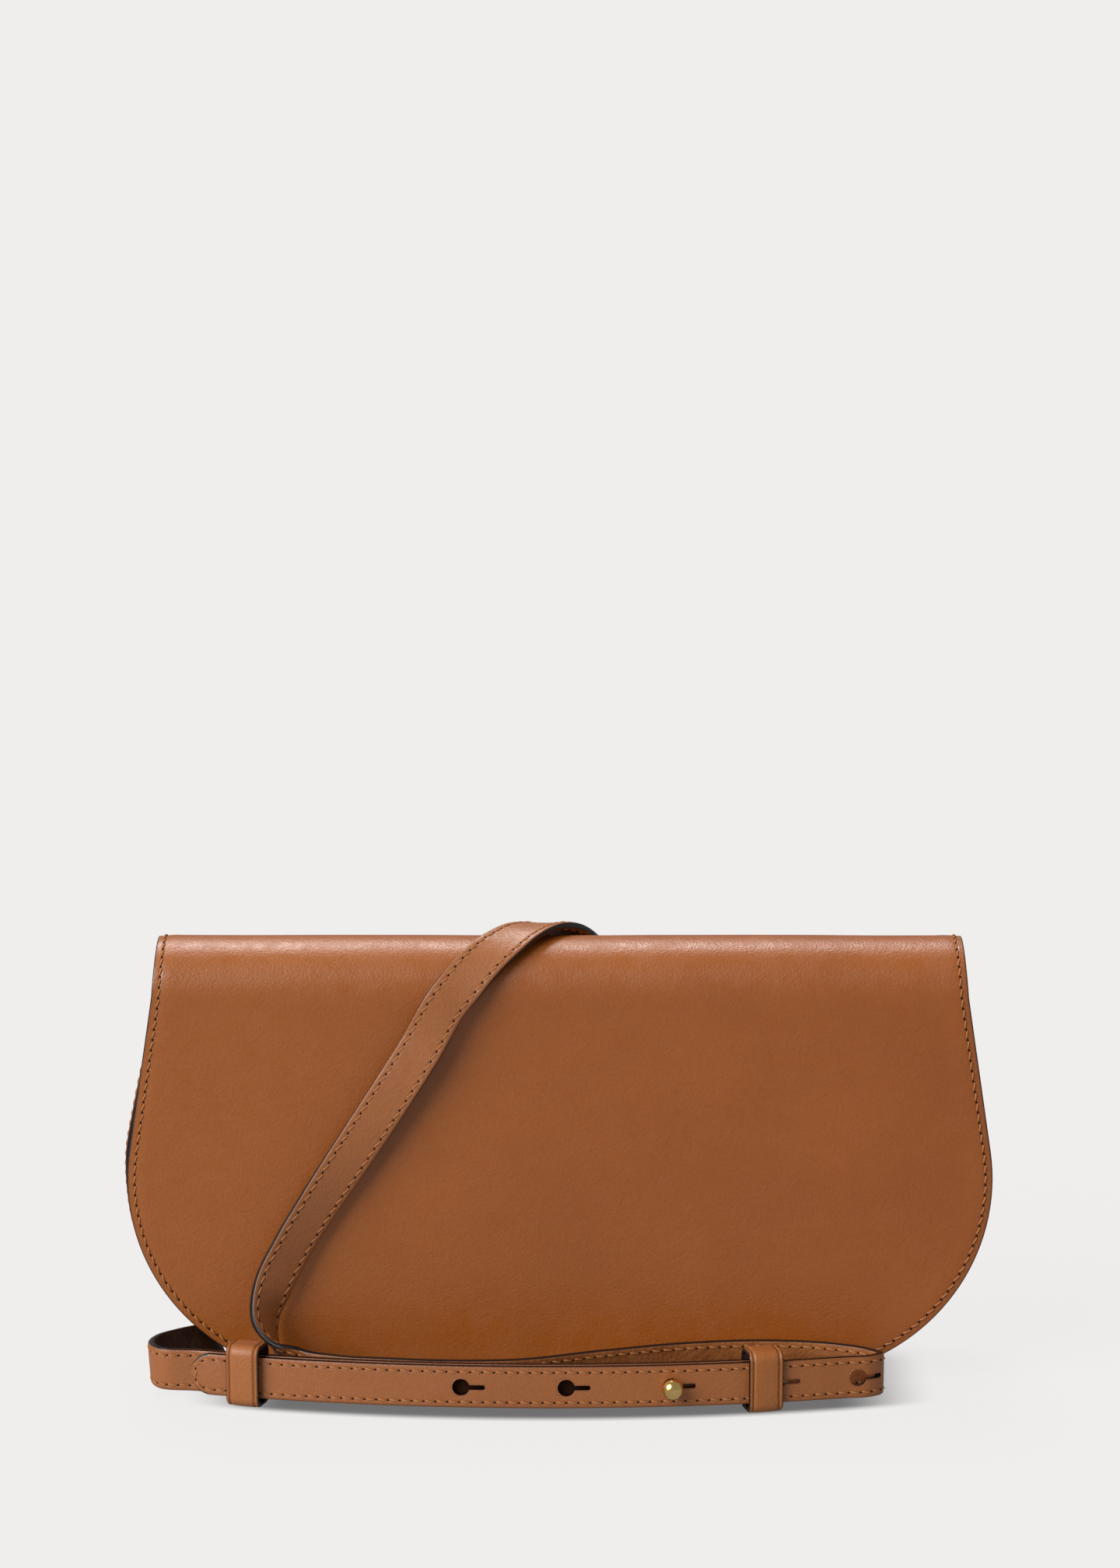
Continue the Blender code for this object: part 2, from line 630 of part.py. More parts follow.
# ---- keepers ---------------------------------------------------------------------------------
def rounded_rect(half_a, half_b, r, steps=4):
    points = []
    for ca, cb, start in ((half_a - r, half_b - r, 0), (-half_a + r, half_b - r, 90),
                          (-half_a + r, -half_b + r, 180), (half_a - r, -half_b + r, 270)):
        for i in range(steps + 1):
            a = math.radians(start + 90 * i / steps)
            points.append((ca + r * math.cos(a), cb + r * math.sin(a)))
    return points


def make_keeper(side):
    """A leather loop round both straps."""
    x = KEEPER_X[side]
    (px, py), (nx, ny) = run_arc(x, LAYER / 2)
    turn = KEEPER_YAW if x > 0 else -KEEPER_YAW
    nx, ny = nx * math.cos(turn) - ny * math.sin(turn), ny * math.cos(turn) + nx * math.sin(turn)
    half_depth = LAYER / 2 + STRAP_THICK / 2 + KEEPER_PLAY
    half_height = KEEPER_HEIGHT / 2 - KEEPER_WALL
    inner = rounded_rect(half_depth, half_height, 1.2 * MM)
    outer = rounded_rect(half_depth + KEEPER_WALL, half_height + KEEPER_WALL, 2.6 * MM)
    mid_z = KEEPER_HEIGHT / 2 + 0.2 * MM
    rings = []
    half = KEEPER_LONG[side] / 2
    for outline, u in ((inner, -half), (outer, -half), (outer, half), (inner, half)):
        rings.append([(px - ny * u + nx * a, py + nx * u + ny * a, mid_z + b) for a, b in outline])
    verts, faces = loft(rings, closed=True)
    keeper = add_object("keeper_" + side, verts, faces, "strap_leather", (px, py, mid_z))
    smooth_shade(keeper, 35)


# ---- side tabs, rings and loops --------------------------------------------------------------------
def side_matrix(sign):
    """Local frame of the side hardware: u away from the gusset, v up along it, origin on the gusset."""
    z = RING_Z
    cx = BODY_HALF_WIDTH - BODY_CORNER_R
    tangent_x = cx + BODY_CORNER_R * math.cos(BODY_LEAN)
    tangent_z = BODY_BOTTOM + BODY_CORNER_R + BODY_CORNER_R * math.sin(BODY_LEAN)
    x = tangent_x - math.tan(BODY_LEAN) * (z - tangent_z)
    u = (math.cos(BODY_LEAN), math.sin(BODY_LEAN))
    v = (-math.sin(BODY_LEAN), math.cos(BODY_LEAN))

    def place(a, b):
        return (sign * (x + u[0] * a + v[0] * b), z + u[1] * a + v[1] * b)

    return place


BAR_U = GAP + TAB_THICK / 2 + CURL_R                      # ring's upper bar, off the gusset
LOW_U = BAR_U + RING_DROP * math.sin(RING_TILT)
LOW_V = -RING_DROP * math.cos(RING_TILT)


def curl(centre_u, centre_v, leg_side, leg_end, radius):
    """A leg and the curl round a bar, as (u, v) points. leg_side is -1 for a leg nearer the bag."""
    points = [leg_end]
    for i in range(13):
        a = math.radians(295 * i / 12)
        points.append((centre_u + leg_side * radius * math.cos(a), centre_v + radius * math.sin(a)))
    return points


def flat_ribbon(name, sign, path, width, thick, finish):
    """A ribbon whose width runs along Y, following (u, v) points beside the gusset."""
    place = side_matrix(sign)
    samples = []
    for i, (u, v) in enumerate(path):
        x, z = place(u, v)
        before = place(*path[max(i - 1, 0)])
        after = place(*path[min(i + 1, len(path) - 1)])
        d = Vector((after[0] - before[0], 0, after[1] - before[1])).normalized()
        n = d.cross(Vector((0, 1, 0)))
        samples.append((x, RING_Y, z, *n))
    ribbon(name, np.array(samples), width, thick, finish)


def make_ring(side, sign):
    """A rectangular wire ring hanging from its tab."""
    place = side_matrix(sign)
    path = rounded_rect(RING_HALF, RING_DROP / 2, 2.2 * MM)
    normal_u, normal_v = math.cos(RING_TILT), math.sin(RING_TILT)
    sections = []
    count = len(path)
    wire = 10
    for i, (a, b) in enumerate(path):
        pa, pb = path[(i + 1) % count][0] - path[i - 1][0], path[(i + 1) % count][1] - path[i - 1][1]
        length = math.hypot(pa, pb)
        out_a, out_b = pb / length, -pa / length
        ring = []
        for k in range(wire):
            t = 2 * math.pi * k / wire
            r_in = RING_WIRE_R * math.cos(t)
            r_n = RING_WIRE_R * math.sin(t)
            y = RING_Y + a + out_a * r_in
            along = b + out_b * r_in - RING_DROP / 2
            u = BAR_U - along * math.sin(RING_TILT) + normal_u * r_n
            v = along * math.cos(RING_TILT) + normal_v * r_n
            x, z = place(u, v)
            ring.append((x, y, z))
        sections.append(ring)
    verts, faces = loft(sections, closed=True)
    x, z = place(BAR_U, 0)
    ring = add_object("ring_" + side, verts, faces, "gold", (x, RING_Y, z))
    smooth_shade(ring, 60)


def make_side_hardware(side, sign):
    tab = curl(BAR_U, 0, -1, (BAR_U - CURL_R, -20 * MM), CURL_R)
    flat_ribbon("tab_" + side, sign, tab, TAB_WIDTH, TAB_THICK, "strap_leather")
    make_ring(side, sign)
    r = RING_WIRE_R + BAR_PLAY + TAB_THICK / 2
    lean_in = 2.3 * MM          # the leg slopes in towards the bag by this much over its length
    leg = 9.5 * MM
    loop = curl(LOW_U, LOW_V, 1, (LOW_U + r - lean_in, LOW_V - leg), r)
    flat_ribbon("loop_" + side, sign, loop, STRAP_WIDTH, TAB_THICK, "strap_leather")
    middle = (LOW_U + r - lean_in / 2, LOW_V - leg / 2)
    make_rivet(side, sign, middle, Vector((leg, -lean_in)).normalized())


def make_rivet(side, sign, spot, outward):
    """A domed rivet cap on the outside of the loop's leg."""
    place = side_matrix(sign)
    seat = Vector(spot) + outward * (TAB_THICK / 2 + GAP)
    x, z = place(*seat)
    x2, z2 = place(*(seat + outward))
    z_axis = Vector((x2 - x, 0, z2 - z)).normalized()
    y_axis = Vector((0, 1, 0))
    x_axis = y_axis.cross(z_axis)
    frame = Matrix((x_axis, y_axis, z_axis)).transposed().to_4x4()
    frame.translation = (x, RING_Y, z)
    profile = [(0, 0), (2.6 * MM, 0), (2.6 * MM, 0.3 * MM), (2.1 * MM, 0.8 * MM),
               (1.1 * MM, 0.95 * MM), (0, 1.0 * MM)]
    turned("rivet_" + side, profile, "gold", frame, 16)


def main():
    clear_scene()
    make_panels()
    make_linings()
    make_slip_pocket()
    make_gusset()
    make_base_board()
    make_closure()
    make_flap()
    make_long_strap_front()
    make_long_strap_rear()
    make_short_strap()
    make_stud()
    for side in ("left", "right"):
        make_keeper(side)
    make_side_hardware("left", -1)
    make_side_hardware("right", 1)


main()
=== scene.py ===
import math

import bmesh
import bpy
import numpy as np
from mathutils import Matrix, Vector, noise


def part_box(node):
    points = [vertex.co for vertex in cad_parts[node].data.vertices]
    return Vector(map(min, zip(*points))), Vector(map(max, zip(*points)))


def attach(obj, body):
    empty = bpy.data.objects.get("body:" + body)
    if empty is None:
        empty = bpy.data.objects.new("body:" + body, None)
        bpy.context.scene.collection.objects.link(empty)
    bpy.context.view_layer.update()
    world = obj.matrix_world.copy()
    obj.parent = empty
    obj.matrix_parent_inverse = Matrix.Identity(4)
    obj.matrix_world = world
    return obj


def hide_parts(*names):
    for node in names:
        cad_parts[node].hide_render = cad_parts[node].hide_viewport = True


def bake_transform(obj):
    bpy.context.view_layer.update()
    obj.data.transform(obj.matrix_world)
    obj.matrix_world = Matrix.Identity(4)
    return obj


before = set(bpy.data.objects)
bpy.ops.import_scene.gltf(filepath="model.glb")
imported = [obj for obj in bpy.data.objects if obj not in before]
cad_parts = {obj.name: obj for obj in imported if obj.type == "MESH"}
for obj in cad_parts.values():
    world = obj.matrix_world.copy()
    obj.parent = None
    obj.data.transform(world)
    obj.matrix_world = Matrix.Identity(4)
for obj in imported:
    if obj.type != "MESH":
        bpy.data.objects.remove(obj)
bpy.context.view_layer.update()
MM = 0.001

# ---- datums read off the frame ----
FLAP_LO, FLAP_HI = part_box("flap_leather")
BODY_LO, BODY_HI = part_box("back_panel")
STRAP_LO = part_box("strap_long_front")[0]

ROLL_R = 16.5 * MM
ROLL_Y = FLAP_HI.y - ROLL_R
ROLL_Z = FLAP_HI.z - ROLL_R
FOOT_Y = FLAP_LO.y                  # flap's outer face at its lower edge
BACK_FOOT_Y = BODY_HI.y             # back panel's outer face at the bottom
FOLD_Z = 122 * MM
FLAP_SHAPE = (FLAP_HI.x, 62.5 * MM, FLAP_LO.z, math.radians(9))
BODY_SHAPE = (BODY_HI.x, 62 * MM, BODY_LO.z, math.radians(17))
FLAP_THICK = 1.6 * MM
GAP = 0.3 * MM
LINING = 0.8 * MM
BODY_FRONT = FLAP_THICK + 4 * GAP + LINING + 2 * MM      # flap face to front panel's face
LINING_GAP = 1.0 * MM

STRAP_W = 13.4 * MM
STRAP_T = 2.3 * MM
STRAP_MID_Z = STRAP_LO.z + STRAP_W / 2
APEX_X, APEX_Y, RUN_R = -3 * MM, -55 * MM, 410 * MM      # the front run is a shallow arc in plan
LAYER = 2.6 * MM
PITCH = 32.1 * MM                                         # keyhole spacing
HOLE_R = 2.65 * MM
FIRST_HOLE = -30.2 * MM
FIFTH_HOLE_GAP = 26.4 * MM                                # from the fourth keyhole, along the strap
STUD_X = FIRST_HOLE + 2 * PITCH
KEEPER_X = {"left": -96.4 * MM, "right": 62.2 * MM}
KEEPER_LONG = {"left": 10.8 * MM, "right": 11.0 * MM}
KEEPER_YAW = {"left": math.radians(-5), "right": math.radians(5)}
KEEPER_WALL = 1.6 * MM
KEEPER_PLAY = 1.1 * MM


# ---- materials ----
class Shade:
    """Small helper for building a node material."""

    def __init__(self, name):
        self.material = bpy.data.materials.new(name)
        self.material.use_nodes = True
        self.tree = self.material.node_tree
        self.bsdf = self.tree.nodes["Principled BSDF"]
        self.coords = self.node("ShaderNodeTexCoord").outputs["Object"]
        self.normal = None

    def node(self, kind, **props):
        made = self.tree.nodes.new(kind)
        for key, value in props.items():
            setattr(made, key, value)
        return made

    def put(self, socket, value):
        if isinstance(value, bpy.types.NodeSocket):
            self.tree.links.new(value, socket)
        elif isinstance(value, tuple) and len(value) == 3 and socket.type == "RGBA":
            socket.default_value = (*value, 1.0)
        else:
            socket.default_value = value

    def noise(self, scale, detail=3.0, rough=0.5, distortion=0.0, vector=None):
        made = self.node("ShaderNodeTexNoise")
        self.put(made.inputs["Vector"], vector or self.coords)
        made.inputs["Scale"].default_value = scale
        made.inputs["Detail"].default_value = detail
        made.inputs["Roughness"].default_value = rough
        made.inputs["Distortion"].default_value = distortion
        return made.outputs["Fac"]

    def cells(self, scale):
        made = self.node("ShaderNodeTexVoronoi")
        self.put(made.inputs["Vector"], self.coords)
        made.inputs["Scale"].default_value = scale
        return made.outputs["Distance"]

    def math(self, operation, a, b=0.0):
        made = self.node("ShaderNodeMath", operation=operation)
        self.put(made.inputs[0], a)
        self.put(made.inputs[1], b)
        return made.outputs[0]

    def span(self, value, low, high, out_low=0.0, out_high=1.0, smooth=True):
        made = self.node("ShaderNodeMapRange")
        made.interpolation_type = "SMOOTHSTEP" if smooth else "LINEAR"
        self.put(made.inputs["Value"], value)
        for key, number in (("From Min", low), ("From Max", high),
                            ("To Min", out_low), ("To Max", out_high)):
            made.inputs[key].default_value = number
        return made.outputs[0]

    def mix(self, share, a, b, blend="MIX"):
        made = self.node("ShaderNodeMix", data_type="RGBA", blend_type=blend)
        self.put(made.inputs["Factor"], share)
        self.put(made.inputs[6], a)
        self.put(made.inputs[7], b)
        return made.outputs[2]

    def attribute(self, name):
        return self.node("ShaderNodeAttribute", attribute_name=name).outputs["Fac"]

    def bump(self, height, strength, distance):
        made = self.node("ShaderNodeBump")
        self.put(made.inputs["Height"], height)
        made.inputs["Strength"].default_value = strength
        made.inputs["Distance"].default_value = distance
        if self.normal is not None:
            self.put(made.inputs["Normal"], self.normal)
        self.normal = made.outputs[0]

    def finish(self, colour, roughness, metallic=0.0, specular=0.5):
        self.put(self.bsdf.inputs["Base Color"], colour)
        self.put(self.bsdf.inputs["Roughness"], roughness)
        self.bsdf.inputs["Metallic"].default_value = metallic
        self.bsdf.inputs["Specular IOR Level"].default_value = specular
        if self.normal is not None:
            self.put(self.bsdf.inputs["Normal"], self.normal)
        return self.material


def smooth_leather(name, light, dark, rough, inset, wrinkle=0.25, shine=0.8):
    """Full-grain leather, burnished towards its edge and pressed in along the stitch line; painted light
    makes it lighter towards -X.
    """
    s = Shade(name)
    mottle = s.span(s.noise(22, 4, 0.6), 0.3, 0.72)
    colour = s.mix(mottle, dark, light)
    # Painted light: the leather is painted lighter and paler towards -X, where the key light falls.
    split = s.node("ShaderNodeSeparateXYZ")
    s.put(split.inputs[0], s.coords)
    painted_left_light = s.span(split.outputs[0], -0.14, 0.14, 0.5, 0.0, smooth=False)
    colour = s.mix(painted_left_light, colour, tuple(c * k for c, k in zip(light, (1.24, 1.44, 3.0))))
    speck = s.span(s.noise(900, 3, 0.7), 0.42, 0.78, 0.0, 0.22)
    colour = s.mix(speck, colour, tuple(c * 0.6 for c in dark))
    edge = s.attribute("edge_mm")
    near = s.span(edge, 0.0, 1.2, 0.55, 0.0)
    colour = s.mix(near, colour, tuple(c * 0.5 for c in dark))
    off = s.math("ABSOLUTE", s.math("SUBTRACT", edge, inset))
    groove = s.span(off, 0.0, 0.75)
    colour = s.mix(s.span(off, 0.0, 0.6, 0.30, 0.0), colour, tuple(c * 0.55 for c in dark))
    s.bump(groove, 0.55, 0.0002)
    s.bump(s.noise(70, 3, 0.5, 0.6), wrinkle, 0.0006)
    s.bump(s.noise(420, 4, 0.62, 0.9), 0.5, 0.00016)
    s.bump(s.cells(1300), 0.4, 0.00013)
    gloss = s.span(s.noise(160, 4, 0.6), 0.3, 0.7, rough - 0.05, rough + 0.08)
    return s.finish(colour, gloss, specular=shine)


def pebbled_leather(name, light, dark):
    """The softer, grained face used for the inside of the straps."""
    s = Shade(name)
    colour = s.mix(s.span(s.noise(120, 4), 0.3, 0.7), dark, light)
    colour = s.mix(s.span(s.cells(800), 0.25, 0.0, 0.0, 0.35), colour, tuple(c * 0.6 for c in dark))
    s.bump(s.cells(800), 0.6, 0.00025)
    s.bump(s.noise(1600, 3), 0.25, 0.0001)
    return s.finish(colour, s.span(s.noise(300), 0.3, 0.7, 0.5, 0.66))


def edge_paint(name):
    """Brushed-on dark edge colour: glossy, a little uneven, thin in places."""
    s = Shade(name)
    worn = s.span(s.noise(260, 5, 0.7), 0.60, 0.78, 0.0, 0.6)
    colour = s.mix(worn, (0.010, 0.005, 0.005), (0.045, 0.021, 0.015))
    s.bump(s.noise(500, 3, 0.6), 0.25, 0.00012)
    s.bump(s.noise(90, 2), 0.3, 0.0003)
    return s.finish(colour, s.span(s.noise(120), 0.3, 0.7, 0.15, 0.28), specular=0.55)


def thread(name):
    s = Shade(name)
    strands = s.node("ShaderNodeTexWave", bands_direction="DIAGONAL")
    s.put(strands.inputs["Vector"], s.coords)
    strands.inputs["Scale"].default_value = 1400
    strands.inputs["Distortion"].default_value = 2.0
    fibre = strands.outputs["Fac"]
    colour = s.mix(fibre, (0.36, 0.125, 0.036), (0.62, 0.26, 0.090))
    s.bump(fibre, 0.5, 0.00006)
    return s.finish(colour, s.span(s.noise(700), 0.3, 0.7, 0.5, 0.7), specular=0.35)


# Near-black colour for needle holes and keyholes: painted shade inside the openings.
def painted_hole_shade(name):
    s = Shade(name)
    colour = s.mix(s.noise(1200), (0.018, 0.005, 0.002), (0.045, 0.014, 0.006))
    return s.finish(colour, s.span(s.noise(900), 0.3, 0.7, 0.75, 0.9), specular=0.1)


def suede(name, light, dark):
    s = Shade(name)
    colour = s.mix(s.span(s.noise(35, 5, 0.65), 0.3, 0.7), dark, light)
    colour = s.mix(s.span(s.noise(1300, 2), 0.4, 0.7, 0.0, 0.3), colour, dark)
    s.bump(s.noise(1500, 4, 0.7), 0.5, 0.00015)
    return s.finish(colour, s.span(s.noise(200), 0.3, 0.7, 0.82, 0.95), specular=0.2)


def metal(name, light, dark, rough):
    """Polished plated metal with faint tumbling marks and fine scratches."""
    s = Shade(name)
    stretch = s.node("ShaderNodeMapping")
    s.put(stretch.inputs["Vector"], s.coords)
    stretch.inputs["Scale"].default_value = (1.0, 1.0, 9.0)
    scratch = s.noise(700, 4, 0.7, 0.4, stretch.outputs[0])
    colour = s.mix(s.span(s.noise(150, 3), 0.35, 0.7), light, dark)
    s.bump(scratch, 0.06, 0.00005)
    return s.finish(colour, s.span(scratch, 0.3, 0.75, rough * 0.7, rough * 1.5), metallic=1.0)


def kraft_board(name):
    s = Shade(name)
    colour = s.mix(s.noise(400, 6, 0.7), (0.20, 0.14, 0.09), (0.34, 0.26, 0.18))
    s.bump(s.noise(900, 5, 0.7), 0.4, 0.00012)
    return s.finish(colour, s.span(s.noise(200), 0.3, 0.7, 0.85, 0.95), specular=0.2)


PANEL_INSET, STRAP_INSET, KEEPER_INSET = 2.3, 1.9, 1.45   # pressed line to edge, in mm
TAN_LIGHT, TAN_DARK = (0.36, 0.092, 0.0060), (0.32, 0.078, 0.0045)
M_PANEL = smooth_leather("panel_leather", TAN_LIGHT, TAN_DARK, 0.39, PANEL_INSET)
M_STRAP = smooth_leather("strap_leather", (0.385, 0.118, 0.020), (0.33, 0.094, 0.014), 0.43,
                         STRAP_INSET, wrinkle=0.4)
M_KEEPER = smooth_leather("keeper_leather", (0.41, 0.134, 0.026), (0.35, 0.102, 0.016), 0.45,
                          KEEPER_INSET, shine=0.55)
M_PEBBLE = pebbled_leather("pebbled_leather", (0.34, 0.112, 0.024), (0.25, 0.070, 0.012))
# Shaded copy of the pebbled leather: painted shade for inner faces that sit in shadow.
M_PAINTED_SHADE = pebbled_leather("painted_shade_leather", (0.075, 0.024, 0.009), (0.045, 0.014, 0.005))
M_EDGE = edge_paint("edge_paint")
M_THREAD = thread("thread")
M_HOLE_SHADE = painted_hole_shade("painted_hole_shade")
M_LINING = suede("suede_lining", (0.46, 0.27, 0.13), (0.33, 0.18, 0.08))
M_GOLD = metal("gold_plate", (0.98, 0.68, 0.26), (0.90, 0.58, 0.18), 0.18)
M_STEEL = metal("steel_plate", (0.62, 0.62, 0.62), (0.5, 0.5, 0.5), 0.36)
M_BOARD = kraft_board("kraft_board")


# ---- mesh helpers ----
def add_mesh(name, verts, faces, materials, kinds=None, attributes=None, sharp=45):
    mesh = bpy.data.meshes.new(name)
    mesh.from_pydata([tuple(v) for v in verts], [], [tuple(f) for f in faces])
    for material in materials:
        mesh.materials.append(material)
    if kinds is not None:
        mesh.polygons.foreach_set("material_index", np.array(kinds, np.int32))
    for key, values in (attributes or {}).items():
        layer = mesh.attributes.new(key, "FLOAT", "POINT")
        layer.data.foreach_set("value", np.array(values, np.float32))
    bm = bmesh.new()
    bm.from_mesh(mesh)
    bmesh.ops.recalc_face_normals(bm, faces=bm.faces)
    bm.to_mesh(mesh)
    bm.free()
    mesh.shade_smooth()
    mesh.set_sharp_from_angle(angle=math.radians(sharp))
    obj = bpy.data.objects.new(name, mesh)
    bpy.context.scene.collection.objects.link(obj)
    return obj


def grid_faces(rows, columns, start=0, wrap=False):
    faces = []
    for i in range(rows - 1):
        for k in range(columns if wrap else columns - 1):
            a = start + i * columns + k
            b = start + i * columns + (k + 1) % columns
            faces.append((a, b, b + columns, a + columns))
    return faces


def unit(v):
    return v / np.maximum(np.linalg.norm(v, axis=-1, keepdims=True), 1e-12)


def spline(points, step):
    """A smooth curve through the points, sampled at about the given step."""
    pts = np.array(points, float)
    chord = np.linalg.norm(np.diff(pts[:, :3], axis=0), axis=1)
    rate = np.diff(pts, axis=0) / chord[:, None]
    slopes = np.zeros_like(pts)
    slopes[0], slopes[-1] = rate[0], rate[-1]
    for i in range(1, len(pts) - 1):
        share = chord[i] / (chord[i - 1] + chord[i])
        slopes[i] = rate[i - 1] * share + rate[i] * (1 - share)
    out = []
    for i, length in enumerate(chord):
        n = max(1, int(round(length / step)))
        for k in range(n):
            t = k / n
            out.append((1 + 2 * t) * (1 - t) ** 2 * pts[i] + t * (1 - t) ** 2 * length * slopes[i]
                       + t * t * (3 - 2 * t) * pts[i + 1] + t * t * (t - 1) * length * slopes[i + 1])
    out.append(pts[-1])
    return np.array(out)


def smoothstep(x):
    x = np.clip(x, 0.0, 1.0)
    return x * x * (3 - 2 * x)


# ---- stitches ----
STITCH_PITCH = 3.3 * MM
STRAP_PITCH = 3.65 * MM
THREAD_R = 0.29 * MM
STITCH_SLANT = math.radians(15)
STITCH_SHARE = 0.86                 # thread length as a share of the pitch
HOLE_LONG, HOLE_WIDE = 0.42, 0.32   # half sizes of a needle hole, in mm
# along the thread: place (-1 to 1), girth (share of its radius), height over the leather in mm
THREAD_RINGS = ((-1.0, 0.4, -0.28), (-0.72, 0.95, 0.02), (0.0, 1.0, 0.13), (0.72, 0.95, 0.02),
                (1.0, 0.4, -0.28))


def stitch_row(path, normals, pitch=STITCH_PITCH):
    """Slanted thread lengths with a needle hole of painted shade between them, as (verts, faces, kinds)."""
    path, normals = np.array(path, float), np.array(normals, float)
    run = np.concatenate([[0], np.cumsum(np.linalg.norm(np.diff(path, axis=0), axis=1))])
    count = max(1, int(round(run[-1] / pitch)))
    pitch = run[-1] / count
    mids = (np.arange(count) + 0.5) * pitch

    def at(values, where):
        return np.stack([np.interp(where, run, values[:, k]) for k in range(3)], axis=1)

    centre, out = at(path, mids), unit(at(normals, mids))
    along = unit(at(path, mids + 0.3 * MM) - at(path, mids - 0.3 * MM))
    side = unit(np.cross(along, out))
    lean = along * math.cos(STITCH_SLANT) + side * math.sin(STITCH_SLANT)
    across = unit(np.cross(lean, out))
    verts, faces, kinds = [], [], []
    sides = 6
    half = pitch * STITCH_SHARE / 2
    for i in range(count):
        base = len(verts)
        for t, girth, lift in THREAD_RINGS:
            middle = centre[i] + lean[i] * half * t + out[i] * lift * MM
            for k in range(sides):
                a = 2 * math.pi * k / sides
                ray = across[i] * math.cos(a) + out[i] * math.sin(a) * 0.8
                verts.append(middle + ray * THREAD_R * girth)
        faces += grid_faces(len(THREAD_RINGS), sides, base, wrap=True)
        faces += [tuple(range(base, base + sides)), tuple(range(base + 4 * sides, base + 5 * sides))]
        kinds += [0] * ((len(THREAD_RINGS) - 1) * sides + 2)
    # Dark discs at the needle holes: painted shade in each hole.
    holes = np.arange(count + 1) * pitch
    centre, out = at(path, holes), unit(at(normals, holes))
    along = unit(at(path, holes + 0.3 * MM) - at(path, holes - 0.3 * MM))
    side = unit(np.cross(along, out))
    for i in range(count + 1):
        base = len(verts)
        for reach in (0.09, -0.25):
            for k in range(8):
                a = 2 * math.pi * k / 8
                spread = along[i] * math.cos(a) * HOLE_LONG + side[i] * math.sin(a) * HOLE_WIDE
                verts.append(centre[i] + (spread + out[i] * reach) * MM)
        faces += grid_faces(2, 8, base, wrap=True)
        faces += [tuple(range(base, base + 8)), tuple(range(base + 8, base + 16))]
        kinds += [1] * 10
    return verts, faces, kinds


def stitch_piece(name, rows):
    verts, faces, kinds = [], [], []
    for v, f, k in rows:
        start = len(verts)
        verts += v
        faces += [tuple(n + start for n in face) for face in f]
        kinds += k
    return add_mesh(name, verts, faces, [M_THREAD, M_HOLE_SHADE], kinds, sharp=80)


# ---- half-round sheets: flap, panels and linings ----
def half_width(shape, s, inset=0.0):
    """Half width of a half-round sheet at unrolled height s."""
    half, radius, bottom, lean = shape
    cx, cz, r = half - radius, bottom + radius, radius - inset
    z_top = cz + r * math.sin(lean)
    if s <= z_top:
        return cx + math.sqrt(max(r * r - (s - cz) ** 2, 0.0))
    x = cx + r * math.cos(lean) - math.tan(lean) * (min(s, ROLL_Z) - z_top)
    turn = max(0.0, s - ROLL_Z) / ROLL_R
    return x - math.tan(lean) * ROLL_R * 0.5 * math.sin(min(turn, math.pi / 2))


def heights(shape, inset, top, step=3.0 * MM):
    """Unrolled heights of a sheet's rows, close together where the outline curves."""
    radius, bottom, lean = shape[1:]
    r = radius - inset
    steps = 36
    rows = [bottom + radius - r * math.cos((math.pi / 2 + lean) * i / steps) for i in range(steps + 1)]
    rows = [s for s in rows if s < top - 1 * MM]
    count = max(1, int(round((top - rows[-1]) / step)))
    start = rows[-1]
    return rows + [start + (top - start) * (i + 1) / count for i in range(count)]


def flap_profile(depth):
    def place(s):
        if s <= ROLL_Z:
            share = (s - FLAP_LO.z) / (ROLL_Z - FLAP_LO.z)
            top_y = ROLL_Y - ROLL_R
            return FOOT_Y + (top_y - FOOT_Y) * share + depth, s, -1.0, 0.0
        a = (s - ROLL_Z) / ROLL_R
        r = ROLL_R - depth
        return ROLL_Y - r * math.cos(a), ROLL_Z + r * math.sin(a), -math.cos(a), math.sin(a)
    return place


def front_profile(depth):
    flat = flap_profile(0.0)

    def place(s):
        return flat(min(s, ROLL_Z))[0] + depth, s, -1.0, 0.0
    return place


def back_y(z):
    return BACK_FOOT_Y + (ROLL_Y + ROLL_R - BACK_FOOT_Y) * z / FOLD_Z


def back_profile(depth, sign=1.0):
    def place(s):
        return back_y(s) - depth, s, sign, 0.0
    return place


EDGE_STEPS = np.array([0, .4, .9, 1.5, 2.2, 3, 4, 5.5, 7.5, 10, 14, 19, 26, 35]) * MM
DOME = 0.35 * MM


def outline_points(shape, inset, top, closed_top, steps=60):
    """The sheet's edge as points (x, s): down the left side, along the bottom, up the right side."""
    rows = heights(shape, inset, top, 2 * MM)
    right = [(half_width(shape, s, inset), s) for s in rows]
    left = [(-x, s) for x, s in reversed(right)]
    middle = [(x, rows[0]) for x in np.linspace(-right[0][0], right[0][0], steps)[1:-1]]
    loop = left + middle + right
    if closed_top:
        loop += [(x, top) for x in np.linspace(right[-1][0], -right[-1][0], steps)[1:-1]]
    return np.array(loop)


def edge_distance(points, loop, closed):
    """Distance of each (x, s) point from the outline."""
    a = loop
    b = np.roll(loop, -1, axis=0)
    if not closed:
        a, b = a[:-1], b[:-1]
    d = b - a
    best = np.full(len(points), 1e9)
    for p, q in zip(a, d):
        w = points - p
        t = np.clip((w @ q) / max(q @ q, 1e-18), 0, 1)
        best = np.minimum(best, np.linalg.norm(w - t[:, None] * q, axis=1))
    return best


def ripple(x, s, amount):
    """Soft waviness of leather that has been folded and carried, always inwards."""
    wide = noise.noise(Vector((x * 16, s * 13, 0.3)))
    fine = noise.noise(Vector((x * 42, s * 24, 4.1)))
    return -amount * (0.5 + 0.6 * wide + 0.25 * fine)


def crown(distance):
    """How far the face falls away towards its sewn edge."""
    return -0.5 * MM * (1 - smoothstep(distance / (6 * MM)))


